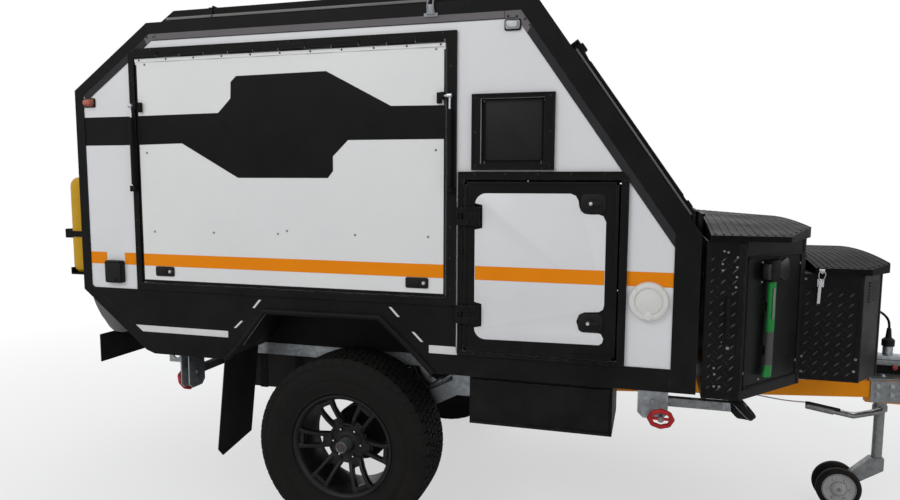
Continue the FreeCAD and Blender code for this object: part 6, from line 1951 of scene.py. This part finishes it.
def cover_trim(form):
    """Pressed fields and catches on the front cover, a pale bead down its sides and its top stops."""
    top = at(0.831, 0, 2.252)
    down = Vector((0.619, 0, -0.879)).normalized()
    out = Vector((-down.z, 0, down.x))
    length = math.hypot(0.619, 0.879)

    def spot(share, y, lift):
        return top + down * (length * share) + out * lift + Vector((0, y, 0))

    def patch(near, far, y0, y1, lift, rise, taper=1.0, paint=0):
        slab(form, [spot(near, y0, lift), spot(near, y1, lift), spot(far, y1, lift), spot(far, y0, lift)],
             out * rise, paint, taper)

    face = 0.0268
    for y0, y1 in ((-0.72, -0.28), (-0.23, 0.23), (0.28, 0.72)):
        patch(0.25, 0.87, y0, y1, face, 0.005, 0.97)
    for y in (-0.55, 0.55):
        patch(0.89, 0.925, y - 0.03, y + 0.03, face, 0.012, 0.85)
    for turn in (-1, 1):
        patch(0.200, 0.935, 0.7795 * turn, 0.7822 * turn, 0.006, 0.010, 1.0, 1)
        patch(0.192, 0.225, 0.735 * turn, 0.778 * turn, face, 0.018, 0.85)


pair("fairing_strip_{}", fairing_strip, "trailer", strip_pale, bevel=0.0006)
pair("roof_trim_{}", roof_trim, "roof_lid", [strip_pale, screw_steel], bevel=0.0006)
pair("roof_catches_{}", roof_catches, "trailer", screw_steel, bevel=0.0004)
single(
    "front_cover_trim", cover_trim, "front_cover", [sheet_black, strip_pale],
    bevel=0.0010)


# Finishes of the frame's own pieces

dress(white_panel, "side_wall_right", "side_wall_left", "rear_wall", "roof_panel")
dress(hatch_white, "side_hatch_right", "side_hatch_left")
dress(rail_black, "edge_rails", "roof_fairing")
dress(
    sheet_black, "front_wall", "skirts", "wheel_houses", "opening_frames", "floor_panel", "door_right",
    "door_left", "slung_boxes", "slung_flap_right", "slung_flap_left", "rear_valance",
    "jerrycan_holder", "roof_lid", "front_cover", "strut_tubes_right", "strut_tubes_left",
    "coupling_head")
dress(lid_black, "tall_box_lid", "small_box_lid")
dress(plate_black, "tall_box", "small_box")
dress(beam_orange, "drawbar")
dress(galvanised, "chassis_frame", "suspension", "stabiliser_clamps")
dress(zinc_dull, "drawbar_plates", "hand_brake", "jockey_leg", "jockey_fork", "front_stabiliser_right",
      "front_stabiliser_left", "rear_stabiliser_right", "rear_stabiliser_left")
dress(steel_bright, "strut_rods_right", "strut_rods_left")
dress(tyre_rubber, "tyre_right", "tyre_left")
dress(black_alloy, "rim_right", "rim_left")
dress(plastic_black, "water_tank", "power_inlet", "trailer_plug")
dress(rubber_black, "mudflaps", "trailer_lead", "jockey_wheels")
dress(plastic_white, "water_inlet")
dress(plastic_green, "axe")
dress(plastic_yellow, "jerrycan")
dress(canvas, "rear_bag")
dress(red_coat, "stabiliser_handles")
dress(lens_red, "lamps")


# Stage, light and world

def stage_floor():
    """A pale floor that keeps a soft shadow, fades to white far off and is clear from below."""
    form = bmesh.new()
    size = 60.0
    form.faces.new([form.verts.new(place) for place in (
        (-size, -size, 0), (size, -size, 0), (size, size, 0), (-size, size, 0))])
    mesh = bpy.data.meshes.new("floor")
    form.to_mesh(mesh)
    form.free()
    floor = bpy.data.objects.new("floor", mesh)
    bpy.context.scene.collection.objects.link(floor)
    material = bpy.data.materials.new("pale_floor")
    material.use_nodes = True
    tree = material.node_tree
    shader = tree.nodes["Principled BSDF"]
    shader.inputs["Base Color"].default_value = (0.88, 0.88, 0.88, 1)
    shader.inputs["Roughness"].default_value = 0.8
    shader.inputs["Specular IOR Level"].default_value = 0.1
    place = add(tree, "ShaderNodeTexCoord").outputs["Object"]
    far = add(tree, "ShaderNodeVectorMath", {"operation": "LENGTH"}, i0=place).outputs["Value"]
    fade = spread(tree, far, 2.2, 6.0, 0.58, 1.0)
    rays = add(tree, "ShaderNodeLightPath")
    seen = maths(tree, "MULTIPLY", fade, rays.outputs["Is Camera Ray"])
    glow = add(tree, "ShaderNodeEmission", Color=(1, 1, 1, 1), Strength=1.0)
    mix = add(tree, "ShaderNodeMixShader", i0=seen, i1=shader.outputs[0], i2=glow.outputs[0])
    below = add(tree, "ShaderNodeNewGeometry").outputs["Backfacing"]
    through = add(tree, "ShaderNodeBsdfTransparent")
    surface = add(tree, "ShaderNodeMixShader", i0=below, i1=mix.outputs[0], i2=through.outputs[0])
    tree.links.new(surface.outputs[0], tree.nodes["Material Output"].inputs["Surface"])
    mesh.materials.append(material)


def soft_lamp(name, place, target, size, watts):
    lamp = bpy.data.lights.new(name, "AREA")
    lamp.shape = "RECTANGLE"
    lamp.size, lamp.size_y = size
    lamp.energy = watts
    made = bpy.data.objects.new(name, lamp)
    bpy.context.scene.collection.objects.link(made)
    made.location = place
    made.rotation_euler = (Vector(target) - Vector(place)).to_track_quat("-Z", "Y").to_euler()


def pale_world():
    world = bpy.data.worlds.new("studio")
    bpy.context.scene.world = world
    world.use_nodes = True
    tree = world.node_tree
    background = tree.nodes["Background"]
    rays = add(tree, "ShaderNodeLightPath")
    seen = maths(tree, "MAXIMUM", rays.outputs["Is Camera Ray"], maths(
        tree, "MAXIMUM", rays.outputs["Is Glossy Ray"], rays.outputs["Is Transmission Ray"]))
    colour = blend_colour(tree, seen, (0.50, 0.51, 0.525, 1), (1, 1, 1, 1))
    tree.links.new(colour, background.inputs["Color"])
    background.inputs["Strength"].default_value = 1.0


stage_floor()
pale_world()
soft_lamp("key_light", (-3.5, -6.5, 5.5), (0.0, 0.0, 1.0), (4.0, 3.0), 150)
soft_lamp("fill_light", (5.5, -5.0, 4.0), (0.5, 0.0, 1.0), (3.0, 3.0), 35)
soft_lamp("back_light", (0.0, 6.0, 5.5), (0.0, 0.0, 1.0), (5.0, 3.0), 90)

scene = bpy.context.scene
scene.view_settings.view_transform = "Standard"
